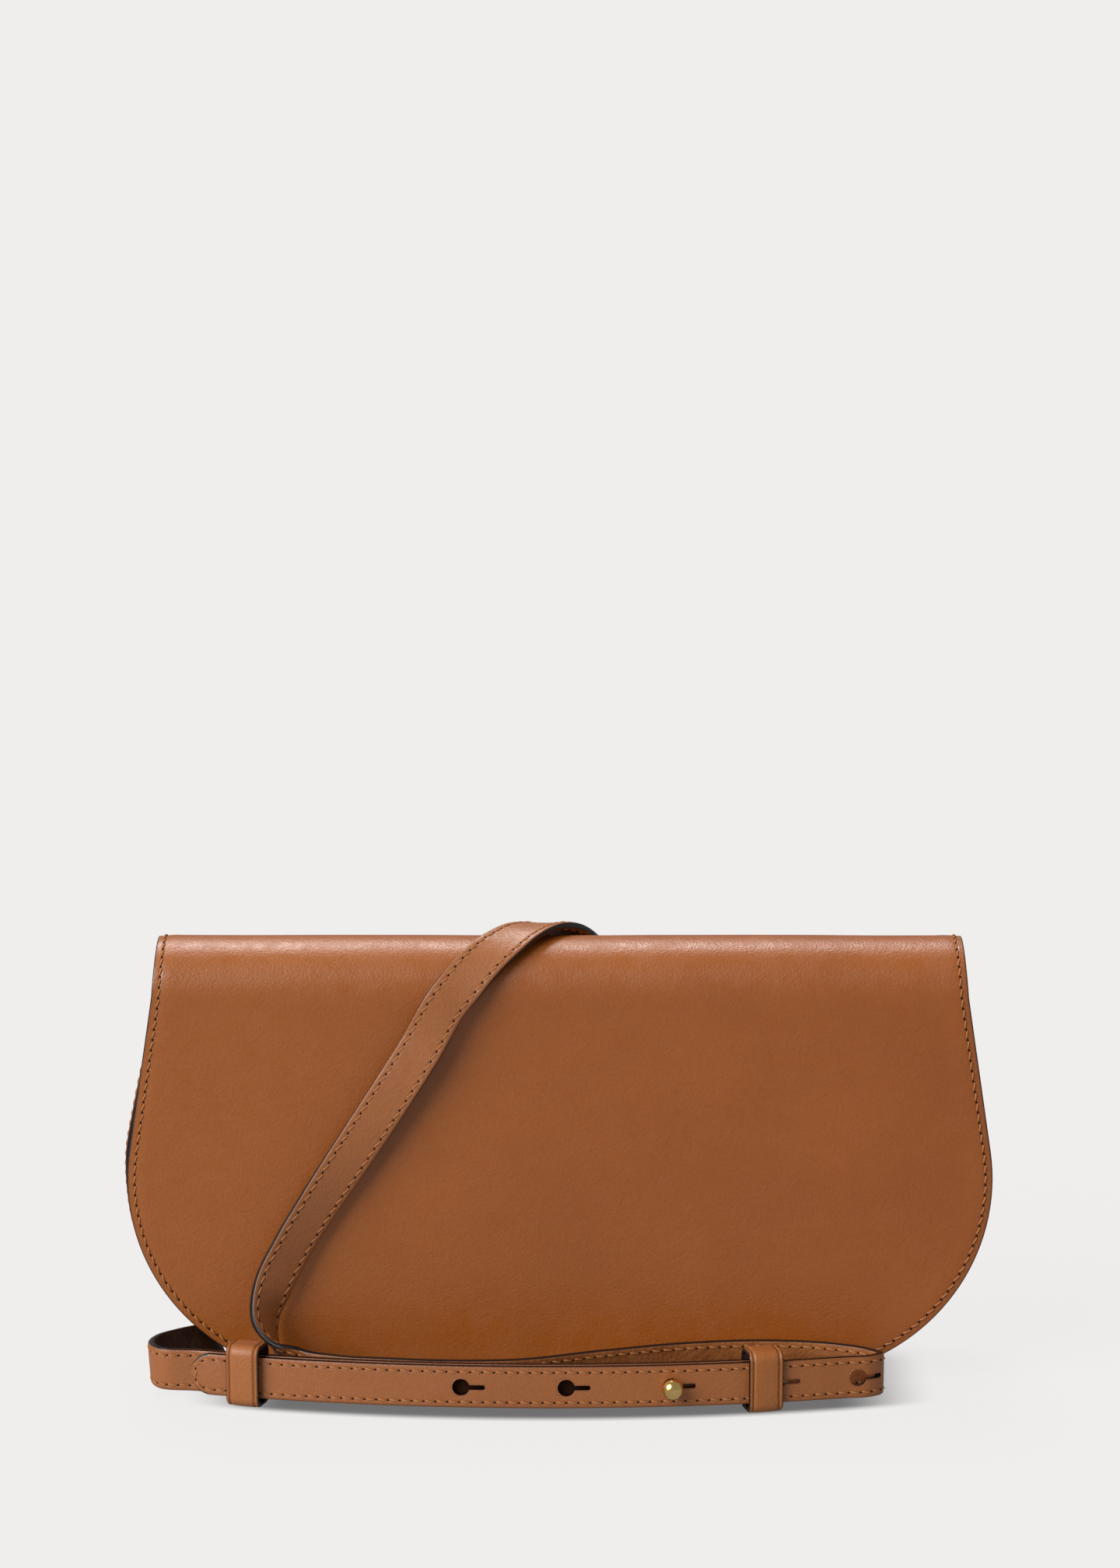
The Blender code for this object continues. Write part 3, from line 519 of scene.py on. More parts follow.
def sheet(name, shape, place, top, thick, materials, closed_top=False, wave=0.0, inset=0.0):
    """A sewn sheet: crowned face, softly waved, with a domed edge all round. Materials: face, edge, back."""
    rows = heights(shape, inset + DOME, top)
    widths = np.array([half_width(shape, s, inset + DOME) for s in rows])
    middle = np.linspace(-1, 1, 25)[1:-1]
    columns = []
    for w in widths:
        outer = w - EDGE_STEPS
        columns.append(np.concatenate([-outer, middle * outer[-1], outer[::-1]]))
    columns = np.array(columns)
    count = columns.shape[1]
    flat = np.stack([columns.ravel(), np.repeat(rows, count)], axis=1)
    loop = outline_points(shape, inset, top, closed_top)
    distance = edge_distance(flat, loop, closed_top)
    inside = smoothstep(distance / (9 * MM))
    verts_out, verts_in, normals = [], [], []
    for (x, s), d, share in zip(flat, distance, inside):
        y, z, ny, nz = place(s)
        push = crown(d) + ripple(x, s, wave) * share
        verts_out.append((x, y + ny * push, z + nz * push))
        push -= thick
        verts_in.append((x, y + ny * push, z + nz * push))
        normals.append((0.0, ny, nz))
    verts_out, verts_in, normals = np.array(verts_out), np.array(verts_in), np.array(normals)
    n_rows = len(rows)
    ids = np.arange(n_rows * count).reshape(n_rows, count)
    ring = list(ids[::-1, 0]) + list(ids[0, 1:-1]) + list(ids[:, -1])
    if closed_top:
        ring += list(ids[-1, 1:-1][::-1])
    ring = np.array(ring)
    spot = flat[ring]
    ahead, behind = np.roll(spot, -1, axis=0), np.roll(spot, 1, axis=0)
    if not closed_top:
        ahead[-1], behind[0] = spot[-1], spot[0]
    tangent = unit(ahead - behind)
    away = np.stack([tangent[:, 1], -tangent[:, 0]], axis=1)
    middle_s = np.mean(rows)
    centre = np.stack([np.zeros(len(ring)), np.full(len(ring), middle_s)], axis=1)
    if np.mean(np.sum(away * (spot - centre), axis=1)) < 0:
        away = -away
    n = normals[ring]
    up = np.stack([np.zeros(len(ring)), -n[:, 2] * np.sign(n[:, 1] + 1e-9), np.abs(n[:, 1])], axis=1)
    if place(top)[2] != place(rows[0])[2]:
        up = np.stack([np.zeros(len(ring)), n[:, 2], -n[:, 1]], axis=1)
    push = away[:, :1] * np.array([[1.0, 0, 0]]) + away[:, 1:] * up
    total = n_rows * count
    verts = [*verts_out, *verts_in]
    faces = grid_faces(n_rows, count) + grid_faces(n_rows, count, total)
    kinds = [0] * ((n_rows - 1) * (count - 1)) + [2] * ((n_rows - 1) * (count - 1))
    edge = list(distance * 1000) * 2
    lines = [list(ring)]
    steps = 6
    for k in range(1, steps):
        a = math.pi * k / steps
        mid = (verts_out[ring] + verts_in[ring]) / 2
        half = (verts_out[ring] - verts_in[ring]) / 2
        lines.append(list(range(len(verts), len(verts) + len(ring))))
        verts += list(mid + half * math.cos(a) + push * DOME * math.sin(a))
        edge += [0.0] * len(ring)
    lines.append(list(ring + total))
    last = len(ring) if closed_top else len(ring) - 1
    for a, b in zip(lines[:-1], lines[1:]):
        for i in range(last):
            j = (i + 1) % len(ring)
            faces.append((a[i], a[j], b[j], b[i]))
            kinds.append(1)
    if not closed_top:
        top_row = list(ids[-1])
        for a, b in zip(top_row[:-1], top_row[1:]):
            faces.append((a, b, b + total, a + total))
            kinds.append(1)
        for end in (0, -1):
            faces.append(tuple(line[end] for line in lines))
            kinds.append(1)
    return add_mesh(name, verts, faces, materials, kinds, {"edge_mm": edge}, sharp=60)


def sheet_stitches(shape, place, top, inset, closed_top=False, margin=0.0):
    """Stitch line that follows a sheet's outline at a constant inset."""
    loop = outline_points(shape, inset, top - (inset if closed_top else margin), closed_top)
    if closed_top:
        loop = np.vstack([loop, loop[:1]])
    path, normals = [], []
    for x, s in loop:
        y, z, ny, nz = place(s)
        push = crown(inset) + 0.02 * MM
        path.append((x, y + ny * push, z + nz * push))
        normals.append((0.0, ny, nz))
    return stitch_row(path, normals)


# ---- ribbons: straps, tabs and loops ----
class Ribbon:
    """A strap along samples of (place, outer face normal), with domed painted edges."""

    def __init__(self, samples, width=STRAP_W, thick=STRAP_T, widths=None):
        self.p = samples[:, :3]
        self.t = unit(np.gradient(self.p, axis=0))
        self.side = unit(np.cross(self.t, samples[:, 3:6]))
        self.out = np.cross(self.side, self.t)
        self.half = width / 2 * (np.ones(len(samples)) if widths is None else widths)
        self.thick = thick
        self.run = np.concatenate([[0], np.cumsum(np.linalg.norm(np.diff(self.p, axis=0), axis=1))])

    def build(self, name, materials, dome=0.32 * MM):
        shares = np.array([1, .95, .86, .72, .5, .25, 0, -.25, -.5, -.72, -.86, -.95, -1])
        crown = np.array([-.14, -.04, 0, 0, .02, .03, .03, .03, .02, 0, 0, -.04, -.14]) * MM
        rows, edge = [], []
        arcs = [math.pi * k / 6 for k in range(1, 6)]
        for p, side, out, half in zip(self.p, self.side, self.out, self.half):
            flat = half - dome
            face = self.thick / 2
            rim = face + crown[0]
            points = [(share * flat, face + c) for share, c in zip(shares, crown)]
            points += [(-flat - dome * math.sin(a), rim * math.cos(a)) for a in arcs]
            points += [(-share * flat, -face - c) for share, c in zip(shares, crown)]
            points += [(flat + dome * math.sin(a), -rim * math.cos(a)) for a in arcs]
            for a, b in points:
                rows.append(p + side * a + out * b)
                edge.append(max(0.0, (half - abs(a)) * 1000))
        count = 2 * len(shares) + 2 * len(arcs)
        faces = grid_faces(len(self.p), count, wrap=True)
        flats, rounds = len(shares) - 1, len(arcs)
        band = [0] * (flats + 1) + [1] * rounds + [2] * flats + [1] * rounds + [0]
        tip = [1] + [0] * (flats - 2) + [1] * (rounds + 2) + [2] * flats + [1] * (rounds + 1)
        full = self.half.max() * 0.985
        kinds = [k for half in self.half[1:] for k in (band if half > full else tip)]
        faces += [tuple(range(count)), tuple(range((len(self.p) - 1) * count, len(self.p) * count))]
        return add_mesh(name, rows, faces, materials, kinds + [1, 1], {"edge_mm": edge}, sharp=50)

    def line(self, sign, face, start, end):
        """A stitch line between two distances along the strap; face is 1 outside, -1 inside."""
        keep = (self.run >= start) & (self.run <= end)
        reach = np.maximum(self.half - STRAP_INSET * MM, 0.0) * sign
        path = self.p + self.side * reach[:, None] + self.out * (face * (self.thick / 2 - 0.05 * MM))
        return path[keep], (self.out * face)[keep]

    def stitches(self, faces=(1, -1)):
        """Stitch rows along both edges of the given faces."""
        rows = []
        for sign in (1, -1):
            for face in faces:
                rows.append(stitch_row(*self.line(sign, face, 2 * MM, self.run[-1] - 2 * MM), STRAP_PITCH))
        return rows

    def at(self, distance):
        """Matrix at a distance along the strap: X along it, Y across it, Z out of its outer face."""
        i = int(np.argmin(abs(self.run - distance)))
        m = Matrix.Identity(4)
        for column, axis in enumerate((self.t[i], self.side[i], self.out[i])):
            for row in range(3):
                m[row][column] = axis[row]
        m.translation = Vector([float(np.interp(distance, self.run, self.p[:, k])) for k in range(3)])
        return m


def prism(matrix, outline, low, high, material):
    verts = [matrix @ Vector((x, y, low)) for x, y in outline]
    verts += [matrix @ Vector((x, y, high)) for x, y in outline]
    n = len(outline)
    faces = [(i, (i + 1) % n, (i + 1) % n + n, i + n) for i in range(n)]
    faces += [tuple(range(n)), tuple(range(n, 2 * n))]
    return add_mesh("cutter", verts, faces, [material])


def bore(obj, cutters):
    """Cuts the cutters out of obj and keeps the result as its mesh."""
    for cutter in cutters:
        modifier = obj.modifiers.new("cut", "BOOLEAN")
        modifier.operation = "DIFFERENCE"
        modifier.solver = "EXACT"
        modifier.material_mode = "TRANSFER"
        modifier.object = cutter
    bpy.context.view_layer.update()
    graph = bpy.context.evaluated_depsgraph_get()
    mesh = bpy.data.meshes.new_from_object(obj.evaluated_get(graph))
    obj.modifiers.clear()
    obj.data = mesh
    mesh.set_sharp_from_angle(angle=math.radians(50))
    for cutter in cutters:
        bpy.data.objects.remove(cutter)


def keyhole_outline(slot_sign):
    """A round hole with a narrow slot running along the strap."""
    half, end = 0.75 * MM, 7.4 * MM
    start = math.asin(half / HOLE_R)
    points = []
    for i in range(29):
        a = start + (2 * math.pi - 2 * start) * i / 28
        points.append((HOLE_R * math.cos(a), HOLE_R * math.sin(a)))
    for i in range(9):
        a = -math.pi / 2 + math.pi * i / 8
        points.append((end - half + half * math.cos(a), half * math.sin(a)))
    return [(x * slot_sign, y) for x, y in points]


def run_arc(x, offset=0.0):
    r = RUN_R - offset
    a = math.asin((x - APEX_X) / RUN_R)
    return (APEX_X + r * math.sin(a), APEX_Y + RUN_R - r * math.cos(a)), (math.sin(a), -math.cos(a))


def roll_point(angle, x, lift=0.7):
    a = math.radians(angle)
    r = ROLL_R + lift * MM + STRAP_T / 2
    return (x * MM, ROLL_Y - r * math.cos(a), ROLL_Z + r * math.sin(a), 0.0, -math.cos(a), math.sin(a))


def face_point(x, z, lift, nx, nz):
    y = flap_profile(0.0)(z * MM)[0] - lift * MM - STRAP_T / 2
    return (x * MM, y, z * MM, nx, -1.0, nz)


def free_point(x, y, z, nx, ny, nz):
    return (x * MM, y * MM, z * MM, nx, ny, nz)


def floor_point(x, y, nx, ny, nz=0.0):
    return (x * MM, y * MM, STRAP_MID_Z, nx, ny, nz)


def arc_points(first, last, count, offset):
    points = []
    for i in range(count + 1):
        (x, y), (nx, ny) = run_arc(first + (last - first) * i / count, offset)
        points.append((x, y, STRAP_MID_Z, nx, ny, 0.0))
    return points


def tongue_widths(samples, length=7 * MM):
    steps = np.linalg.norm(np.diff(samples[::-1, :3], axis=0), axis=1)
    distance = np.concatenate([[0], np.cumsum(steps)])[::-1]
    share = np.clip(distance / length, 0.0, 1.0)
    return np.maximum((1 - (1 - share) ** 2) ** 0.62, 0.14)


# ---- the pieces ----
def seat(body, colour_slot, *pieces):
    """Fixes pieces to one body; colour_slot is not used."""
    for piece in pieces:
        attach(piece, body)


def make_flap():
    top = ROLL_Z + math.pi * ROLL_R
    wave = 0.55 * MM
    face = flap_profile(0.0)
    leather = sheet("flap_face", FLAP_SHAPE, face, top, FLAP_THICK, [M_PANEL, M_EDGE, M_LINING], wave=wave)
    row = sheet_stitches(FLAP_SHAPE, face, top, PANEL_INSET * MM, margin=1 * MM)
    sewn = stitch_piece("flap_stitches", [row])
    under = flap_profile(FLAP_THICK + GAP)
    lining = sheet("flap_underside", FLAP_SHAPE, under, top + 3 * MM, LINING, [M_LINING, M_EDGE, M_LINING],
                   wave=wave, inset=0.6 * MM)
    for piece in (leather, sewn, lining):
        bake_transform(piece)
    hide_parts("flap_leather")
    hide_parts("flap_lining")


def make_panels():
    top = FOLD_Z + 0.2 * MM
    rear = back_profile(0.0)
    back = sheet("back_face", BODY_SHAPE, rear, top, FLAP_THICK, [M_PANEL, M_EDGE, M_LINING], wave=0.4 * MM)
    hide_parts("back_panel")
    near = front_profile(BODY_FRONT)
    front = sheet("front_face", BODY_SHAPE, near, 112 * MM, FLAP_THICK, [M_PANEL, M_EDGE, M_LINING],
                  closed_top=True, wave=0.3 * MM)
    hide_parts("front_panel")
    rows = [sheet_stitches(BODY_SHAPE, rear, top, PANEL_INSET * MM, margin=1 * MM),
            sheet_stitches(BODY_SHAPE, near, 112 * MM, PANEL_INSET * MM, closed_top=True)]
    sewn = stitch_piece("panel_stitches", rows)
    seat("purse_body", "tan_leather", back, front, sewn)


def make_linings():
    inset = 10 * MM                     # linings stop this far inside the panels' edge
    deep = FLAP_THICK + LINING_GAP
    pieces = [
        (sheet("rear_lining", BODY_SHAPE, back_profile(deep, 1.0), 118 * MM, LINING,
               [M_LINING] * 3, True, 0.2 * MM, inset), "back_lining"),
        (sheet("fore_lining", BODY_SHAPE, front_profile(BODY_FRONT + deep), 111 * MM, LINING,
               [M_LINING] * 3, True, 0.2 * MM, inset), "front_lining"),
    ]
    pocket_shape = (72 * MM, 8 * MM, 34 * MM, 0.0)
    place = back_profile(deep + 2 * LINING + GAP, -1.0)
    pocket = sheet("inner_pocket", pocket_shape, place, 100 * MM, LINING,
                   [M_LINING, M_EDGE, M_LINING], True, 0.0)
    pieces.append((pocket, "slip_pocket"))
    for piece, node in pieces:
        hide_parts(node)
        seat("purse_body", "lining", piece)
    sewn = stitch_piece("pocket_stitches", [sheet_stitches(pocket_shape, place, 100 * MM, 1.8 * MM, True)])
    seat("purse_body", "lining", sewn)


def gusset_strip(name, inset, thick, top, front_depth, back_depth, bow, materials):
    """The strip between the panels, bowed inwards between its two seams."""
    rows = heights(BODY_SHAPE, inset, top)
    right = [(half_width(BODY_SHAPE, s, inset), s) for s in rows]
    bottom = [(x, rows[0]) for x in np.linspace(-right[0][0], right[0][0], 24)[1:-1]]
    line = np.array([(-x, s) for x, s in reversed(right)] + bottom + right)
    tangent = unit(np.gradient(line, axis=0))
    inward = np.stack([-tangent[:, 1], tangent[:, 0]], axis=1)
    across = np.linspace(0, 1, 13)
    verts, edge = [], []
    for layer in (0.0, thick):
        for (x, z), (ix, iz) in zip(line, inward):
            near = front_profile(front_depth)(z)[0]
            far = back_y(z) - back_depth
            for t in across:
                dip = bow * math.sin(math.pi * t) ** 0.8 + layer
                verts.append((x + ix * dip, near + (far - near) * t, z + iz * dip))
                edge.append(min(t, 1 - t) * (far - near) * 1000 + 3)
    n, c = len(line), len(across)
    faces = grid_faces(n, c) + grid_faces(n, c, n * c)
    kinds = [0] * ((n - 1) * (c - 1)) + [1] * ((n - 1) * (c - 1))
    for i in range(n - 1):
        for k in (0, c - 1):
            a, b = i * c + k, (i + 1) * c + k
            faces.append((a, b, b + n * c, a + n * c))
            kinds.append(2)
    for k in range(c - 1):
        for a in (k, (n - 1) * c + k):
            faces.append((a, a + 1, a + 1 + n * c, a + n * c))
            kinds.append(2)
    return add_mesh(name, verts, faces, materials, kinds, {"edge_mm": edge}, sharp=50)


def make_gusset():
    f, b = BODY_FRONT + FLAP_THICK + GAP, FLAP_THICK + GAP
    strip = gusset_strip("side_strip", 0.35 * MM, 1.3 * MM, 116 * MM, f, b, 1.4 * MM,
                         [M_PANEL, M_LINING, M_EDGE])
    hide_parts("gusset")
    seat("purse_body", "tan_leather", strip)
    inner = gusset_strip("side_strip_lining", 3.4 * MM, LINING, 115.5 * MM, f + 2 * MM, b + 2 * MM, 1.0 * MM,
                         [M_LINING] * 3)
    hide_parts("gusset_lining")
    seat("purse_body", "lining", inner)


def long_strap_samples():
    """Over the roll, down the face, round the lower left bend, along the floor and back."""
    roll = [
        (177, 12, 0.5), (165, 9.9, 0.6), (150, 7.1), (135, 3.9, 0.9), (120, 0.2, 1.1), (105, -3.8, 1.2),
        (90, -8.1, 1.2), (75, -12.5, 1.2), (60, -16.8, 1.2), (45, -21.6, 1.4), (30, -26.0, 1.9),
        (15, -30.2, 2.6), (2, -34.1, 3.2),
    ]
    face = [
        (-42.8, 108, 3.4, -0.02, 0.26), (-53.2, 91.5, 3.2, 0.04, 0.16), (-63.8, 75.4, 3.2, 0.16, 0.04),
        (-74, 60, 3.6, 0.34, -0.06), (-82.6, 46, 4.1, 0.48, -0.06),
    ]
    bend = [
        (-88.8, -27.8, 33.6, 0.52, -0.85, 0.0), (-91.2, -29.4, 23.2, 0.85, -0.5, 0.1),
        (-87.6, -32.6, 14.6, 0.75, 0.3, 0.6), (-81, -37.4, 10.4, 0.3, 0.95, 0.2),
    ]
    floor = [
        (-70, -42.9, 0.15, 1.0), (-53, -46.3, 0.1, 1.0), (-34, -48.4, 0.05, 1.0),
        (-14, -47.6, -0.2, 1.0), (14, -37.8, -0.3, 0.95), (40, -30, -0.2, 0.98), (68, -27.6, 0.05, 1.0),
        (86, -31.4, 0.4, 0.92), (95.8, -36.9, 0.6, 0.8), (98.6, -40.4, 1.0, 0.0),
        (95.4, -43.4, 0.2, -0.98),
    ]
    points = [roll_point(*row) for row in roll]
    points += [face_point(*row) for row in face]
    points += [free_point(*row) for row in bend]
    points += [floor_point(*row) for row in floor]
    points += arc_points(88 * MM, -114 * MM, 18, 0.0)
    samples = spline(points, 1.6 * MM)
    tail = samples[-7:]
    shares = np.linspace(0, 6, 37)
    dense = np.stack([np.interp(shares, range(7), tail[:, k]) for k in range(6)], axis=1)
    return np.vstack([samples[:-7], dense])


def tip_stitches(ribbon, start):
    """One stitch line out along the upper edge, round the point and back along the lower edge."""
    rows = []
    for face in (1, -1):
        up, n_up = ribbon.line(1, face, start, ribbon.run[-1] - 2.2 * MM)
        low, n_low = ribbon.line(-1, face, start, ribbon.run[-1] - 2.2 * MM)
        rows.append(stitch_row(np.vstack([up, low[::-1]]), np.vstack([n_up, n_low[::-1]]), pitch=STRAP_PITCH))
    return rows


def make_long_strap():
    samples = long_strap_samples()
    ribbon = Ribbon(samples, widths=tongue_widths(samples))
    strap = ribbon.build("strap_front", [M_STRAP, M_EDGE, M_PEBBLE])
    places = [run_matrix(FIRST_HOLE + i * PITCH) for i in range(4)]
    cutters = [prism(place, keyhole_outline(1), -3 * MM, 3 * MM, M_EDGE) for place in places]
    nearest = np.argmin(np.linalg.norm(ribbon.p - places[-1].translation, axis=1))
    fifth = ribbon.at(ribbon.run[nearest] - FIFTH_HOLE_GAP)
    cutters.append(prism(fifth, keyhole_outline(-1), -3 * MM, 3 * MM, M_EDGE))
    bore(strap, cutters)
    sewn = stitch_piece("strap_front_stitches", tip_stitches(ribbon, 1 * MM))
    for piece in (strap, sewn):
        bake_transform(piece)
    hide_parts("strap_long_front")
    # Dark patches just under the first two keyholes: painted shade seen through the holes.
    reach = 3.2 * MM
    patch = [(-reach, -reach), (8 * MM, -reach), (8 * MM, reach), (-reach, reach)]
    for k in range(2):
        place = run_matrix(FIRST_HOLE + k * PITCH)
        shade = prism(place, patch, -STRAP_T / 2 - 0.2 * MM, -STRAP_T / 2 - 0.08 * MM, M_HOLE_SHADE)
        shade.name = "keyhole_painted_shade_" + str(k)
        seat("strap", "strap_leather", shade)


def make_rear_strap():
    ring_lo, ring_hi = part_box("ring_right")
    y0 = (ring_lo.y + ring_hi.y) / 2
    rows = [
        (128.3, y0 / MM, 98.9, 1.0, 0.0, 0.2), (131.2, 6, 83, 1.0, 0.0, 0.1),
        (133.4, 15, 67, 1.0, 0.0, -0.1), (130.9, 24.3, 51, 0.9, 0.0, -0.5),
        (118, 27.5, 39, 0.6, 0.0, -0.8), (101, 28, 33.5, 0.2, 0.0, -1.0), (83, 27, 34, -0.1, 0.1, -1.0),
        (65, 25.5, 43, -0.5, 0.3, -0.8), (48.5, 23.4, 60, -0.65, 0.6, -0.5),
        (35, 20.2, 81, -0.3, 0.9, -0.2), (23.2, 17.4, 101, 0.0, 1.0, 0.0),
        (15, 15.75, 116, 0.0, 1.0, 0.0), (12.4, 15.6, 121.4, 0.0, 1.0, 0.0),
    ]
    points = [free_point(*row) for row in rows]
    ribbon = Ribbon(spline(points, 2 * MM))
    strap = ribbon.build("strap_rear", [M_STRAP, M_EDGE, M_PEBBLE])
    sewn = stitch_piece("strap_rear_stitches", ribbon.stitches())
    seat("purse_body", "strap_leather", strap, sewn)
    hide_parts("strap_long_rear")


def run_matrix(x):
    """Frame on the front run: X along it to the right, Y up, Z out of its outer face."""
    (px, py), (nx, ny) = run_arc(x)
    z_axis = Vector((nx, ny, 0))
    x_axis = Vector((0, 0, 1)).cross(z_axis)
    m = Matrix((x_axis, Vector((0, 0, 1)), z_axis)).transposed().to_4x4()
    m.translation = (px, py, STRAP_MID_Z)
    return m


def make_short_strap():
    hanging = [
        (-128.1, 2.5, 101.4, -1.0, 0.0, 0.2), (-132.0, 4.5, 84, -1.0, 0.0, 0.2),
        (-134.8, 8, 70, -1.0, 0.0, 0.1), (-135.2, 12, 57, -1.0, 0.05, -0.1),
        (-133.6, 17, 43, -0.97, 0.1, -0.25), (-128.5, 20.5, 30, -0.93, 0.15, -0.35),
        (-121.5, 19.6, 17.6, -0.95, 0.15, -0.2), (-115, 13.5, 11, -0.97, 0.1, -0.1),
        (-111.4, 6, 9.3, -0.95, 0.0, -0.25), (-109, -2.5, 9.2, -0.9, 0.15, -0.35),
        (-111.6, -9.8, 9.3, -0.8, 0.5, -0.2),
    ]
    floor = [
        (-118.6, -15.6, -0.75, 0.65, -0.05), (-124.6, -22, -0.93, 0.35, -0.06),
        (-126.3, -29.2, -1.0, -0.1, -0.06), (-123.6, -35, -0.7, -0.7, -0.05),
    ]
    points = [free_point(*row) for row in hanging] + [floor_point(*row) for row in floor]
    points += arc_points(-113 * MM, 63 * MM, 16, LAYER)
    ribbon = Ribbon(spline(points, 1.8 * MM))
    # The inner face takes the painted-shade leather: painted shade where this strap's inside sits in shadow.
    strap = ribbon.build("strap_stud_side", [M_STRAP, M_EDGE, M_PAINTED_SHADE])
    turns = np.linspace(0, 2 * math.pi, 25)[:-1]
    round_hole = [(1.6 * MM * math.cos(a), 1.6 * MM * math.sin(a)) for a in turns]
    bore(strap, [prism(run_matrix(STUD_X), round_hole, -9 * MM, 1 * MM, M_EDGE)])
    sewn = stitch_piece("strap_stud_side_stitches", ribbon.stitches(faces=(1,)))
    for piece in (strap, sewn):
        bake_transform(piece)
    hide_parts("strap_short")


def lathe(name, profile, matrix, material, steps=56):
    verts = []
    for r, h in profile:
        for i in range(steps):
            a = 2 * math.pi * i / steps
            verts.append(matrix @ Vector((r * math.cos(a), r * math.sin(a), h)))
    faces = grid_faces(len(profile), steps, wrap=True)
    n = len(profile)
    faces += [tuple(range(steps)), tuple(range((n - 1) * steps, n * steps))]
    return add_mesh(name, verts, faces, [material], sharp=40)


def make_stud():
    m = run_matrix(STUD_X)
    face = STRAP_T / 2
    foot = -face - GAP + 0.1 * MM
    radius, neck = 3.25 * MM, 1.3 * MM
    ball = face + 0.5 * MM + radius * 0.86
    profile = [(neck, foot), (neck, ball - radius * 0.86 * 0.86)]
    start = -math.acos((neck + 0.35 * MM) / radius)
    for a in np.linspace(start, math.radians(89), 22):
        profile.append((radius * math.cos(a), ball + radius * math.sin(a) * 0.86))
    head = lathe("ball_stud", profile, m, M_GOLD)
    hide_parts("stud_head")
    back = -face - LAYER - 0.3 * MM
    profile = [(0.4 * MM, back - 0.8 * MM), (0.5 * MM, back - 1.1 * MM), (2.9 * MM, back - 1.1 * MM),
               (3.4 * MM, back - 0.9 * MM), (3.6 * MM, back - 0.6 * MM), (3.6 * MM, back), (neck, back),
               (neck, foot - 0.3 * MM)]
    screw = lathe("stud_screw_cap", profile, m, M_GOLD)
    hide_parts("stud_screw")
    seat("stud", "gold", head, screw)


def rounded_rect(half_a, half_b, r, steps=7):
    """Points and outward normals of a rounded rectangle."""
    points = []
    corners = ((half_a - r, half_b - r, 0), (-half_a + r, half_b - r, 90),
               (-half_a + r, -half_b + r, 180), (half_a - r, -half_b + r, 270))
    for ca, cb, start in corners:
        for i in range(steps + 1):
            a = math.radians(start + 90 * i / steps)
            points.append((ca + r * math.cos(a), cb + r * math.sin(a), math.cos(a), math.sin(a)))
    dense = []
    for p, q in zip(points, points[1:] + points[:1]):
        dense.append(p)
        if math.hypot(p[0] - q[0], p[1] - q[1]) > 3 * MM:
            dense += [tuple(np.array(p) * (1 - t) + np.array(q) * t) for t in (0.2, 0.4, 0.6, 0.8)]
    return dense


def make_keeper(side):
    """A leather loop, creased near both edges, with painted rims and an inner face in painted shade."""
    lo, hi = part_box("keeper_" + side)
    centre = (lo + hi) / 2
    half_a = LAYER / 2 + STRAP_T / 2 + KEEPER_PLAY + KEEPER_WALL
    half_b = (hi.z - lo.z) / 2
    (px, py), (nx, ny) = run_arc(KEEPER_X[side], LAYER / 2)
    turn = KEEPER_YAW[side]
    nx, ny = nx * math.cos(turn) - ny * math.sin(turn), ny * math.cos(turn) + nx * math.sin(turn)
    h = KEEPER_LONG[side] / 2 * 1000
    section = [(-h + .35, -.16), (-h + .7, -.02), (-h + 1.05, 0), (-h + 1.4, -.32), (-h + 1.75, 0),
               (-h + 2.4, .06), (-h * .3, .1), (h * .3, .1), (h - 2.4, .06), (h - 1.75, 0), (h - 1.4, -.32),
               (h - 1.05, 0), (h - .7, -.02), (h - .35, -.16), (h - .1, -.45), (h, -.8), (h - .1, -1.2),
               (h - .35, -1.5), (h - .8, -1.6), (-h + .8, -1.6), (-h + .35, -1.5), (-h + .1, -1.2), (-h, -.8),
               (-h + .1, -.45)]
    outline = rounded_rect(half_a - 0.1 * MM, half_b - 0.1 * MM, 3.0 * MM)
    verts, edge = [], []
    for a, b, na, nb in outline:
        for u, n in section:
            aa, bb = a + na * n * MM, b + nb * n * MM
            verts.append((px - ny * u * MM + nx * aa, py + nx * u * MM + ny * aa, centre.z + bb))
            edge.append(max(0.0, h - abs(u)))
    count = len(section)
    ring = len(outline)
    faces, kinds = [], []
    for i in range(ring):
        for k in range(count):
            n = (k + 1) % count
            j = (i + 1) % ring
            faces.append((i * count + k, i * count + n, j * count + n, j * count + k))
            # Kind 2, the loop's inner face, takes the painted-shade leather.
            kinds.append(0 if k < 13 else (2 if k == 18 else 1))
    materials = [M_KEEPER, M_EDGE, M_PAINTED_SHADE]
    keeper = add_mesh("keeper_loop_" + side, verts, faces, materials, kinds, {"edge_mm": edge}, 50)
    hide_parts("keeper_" + side)
    seat("keeper_" + side, "strap_leather", keeper)


# ---- side hardware ----
RING_Z0 = 118.5 * MM                # height of the ring's upper bar
TAB_THICK, TAB_WIDTH = 1.5 * MM, 13 * MM
CURL_R = 2.65 * MM
BAR_U = GAP + TAB_THICK / 2 + CURL_R
WIRE_R, BAR_PLAY = 1.2 * MM, 0.4 * MM
DROP = 11 * MM                      # from the ring's upper bar to its lower bar
TILT = math.radians(8)
LEG, LEG_LEAN = 9.5 * MM, 2.3 * MM  # the fold's leg, and how far it slopes in towards the bag


def side_place(sign):
    lean = BODY_SHAPE[3]
    x = half_width(BODY_SHAPE, RING_Z0)
    c, s = math.cos(lean), math.sin(lean)

    def place(a, b):
        return sign * (x + c * a - s * b), RING_Z0 + s * a + c * b
    return place


def curl(cu, cv, leg_side, leg_end, radius):
    points = [leg_end]
    for i in range(31):
        a = math.radians(295 * i / 30)
        points.append((cu + leg_side * radius * math.cos(a), cv + radius * math.sin(a)))
    return points


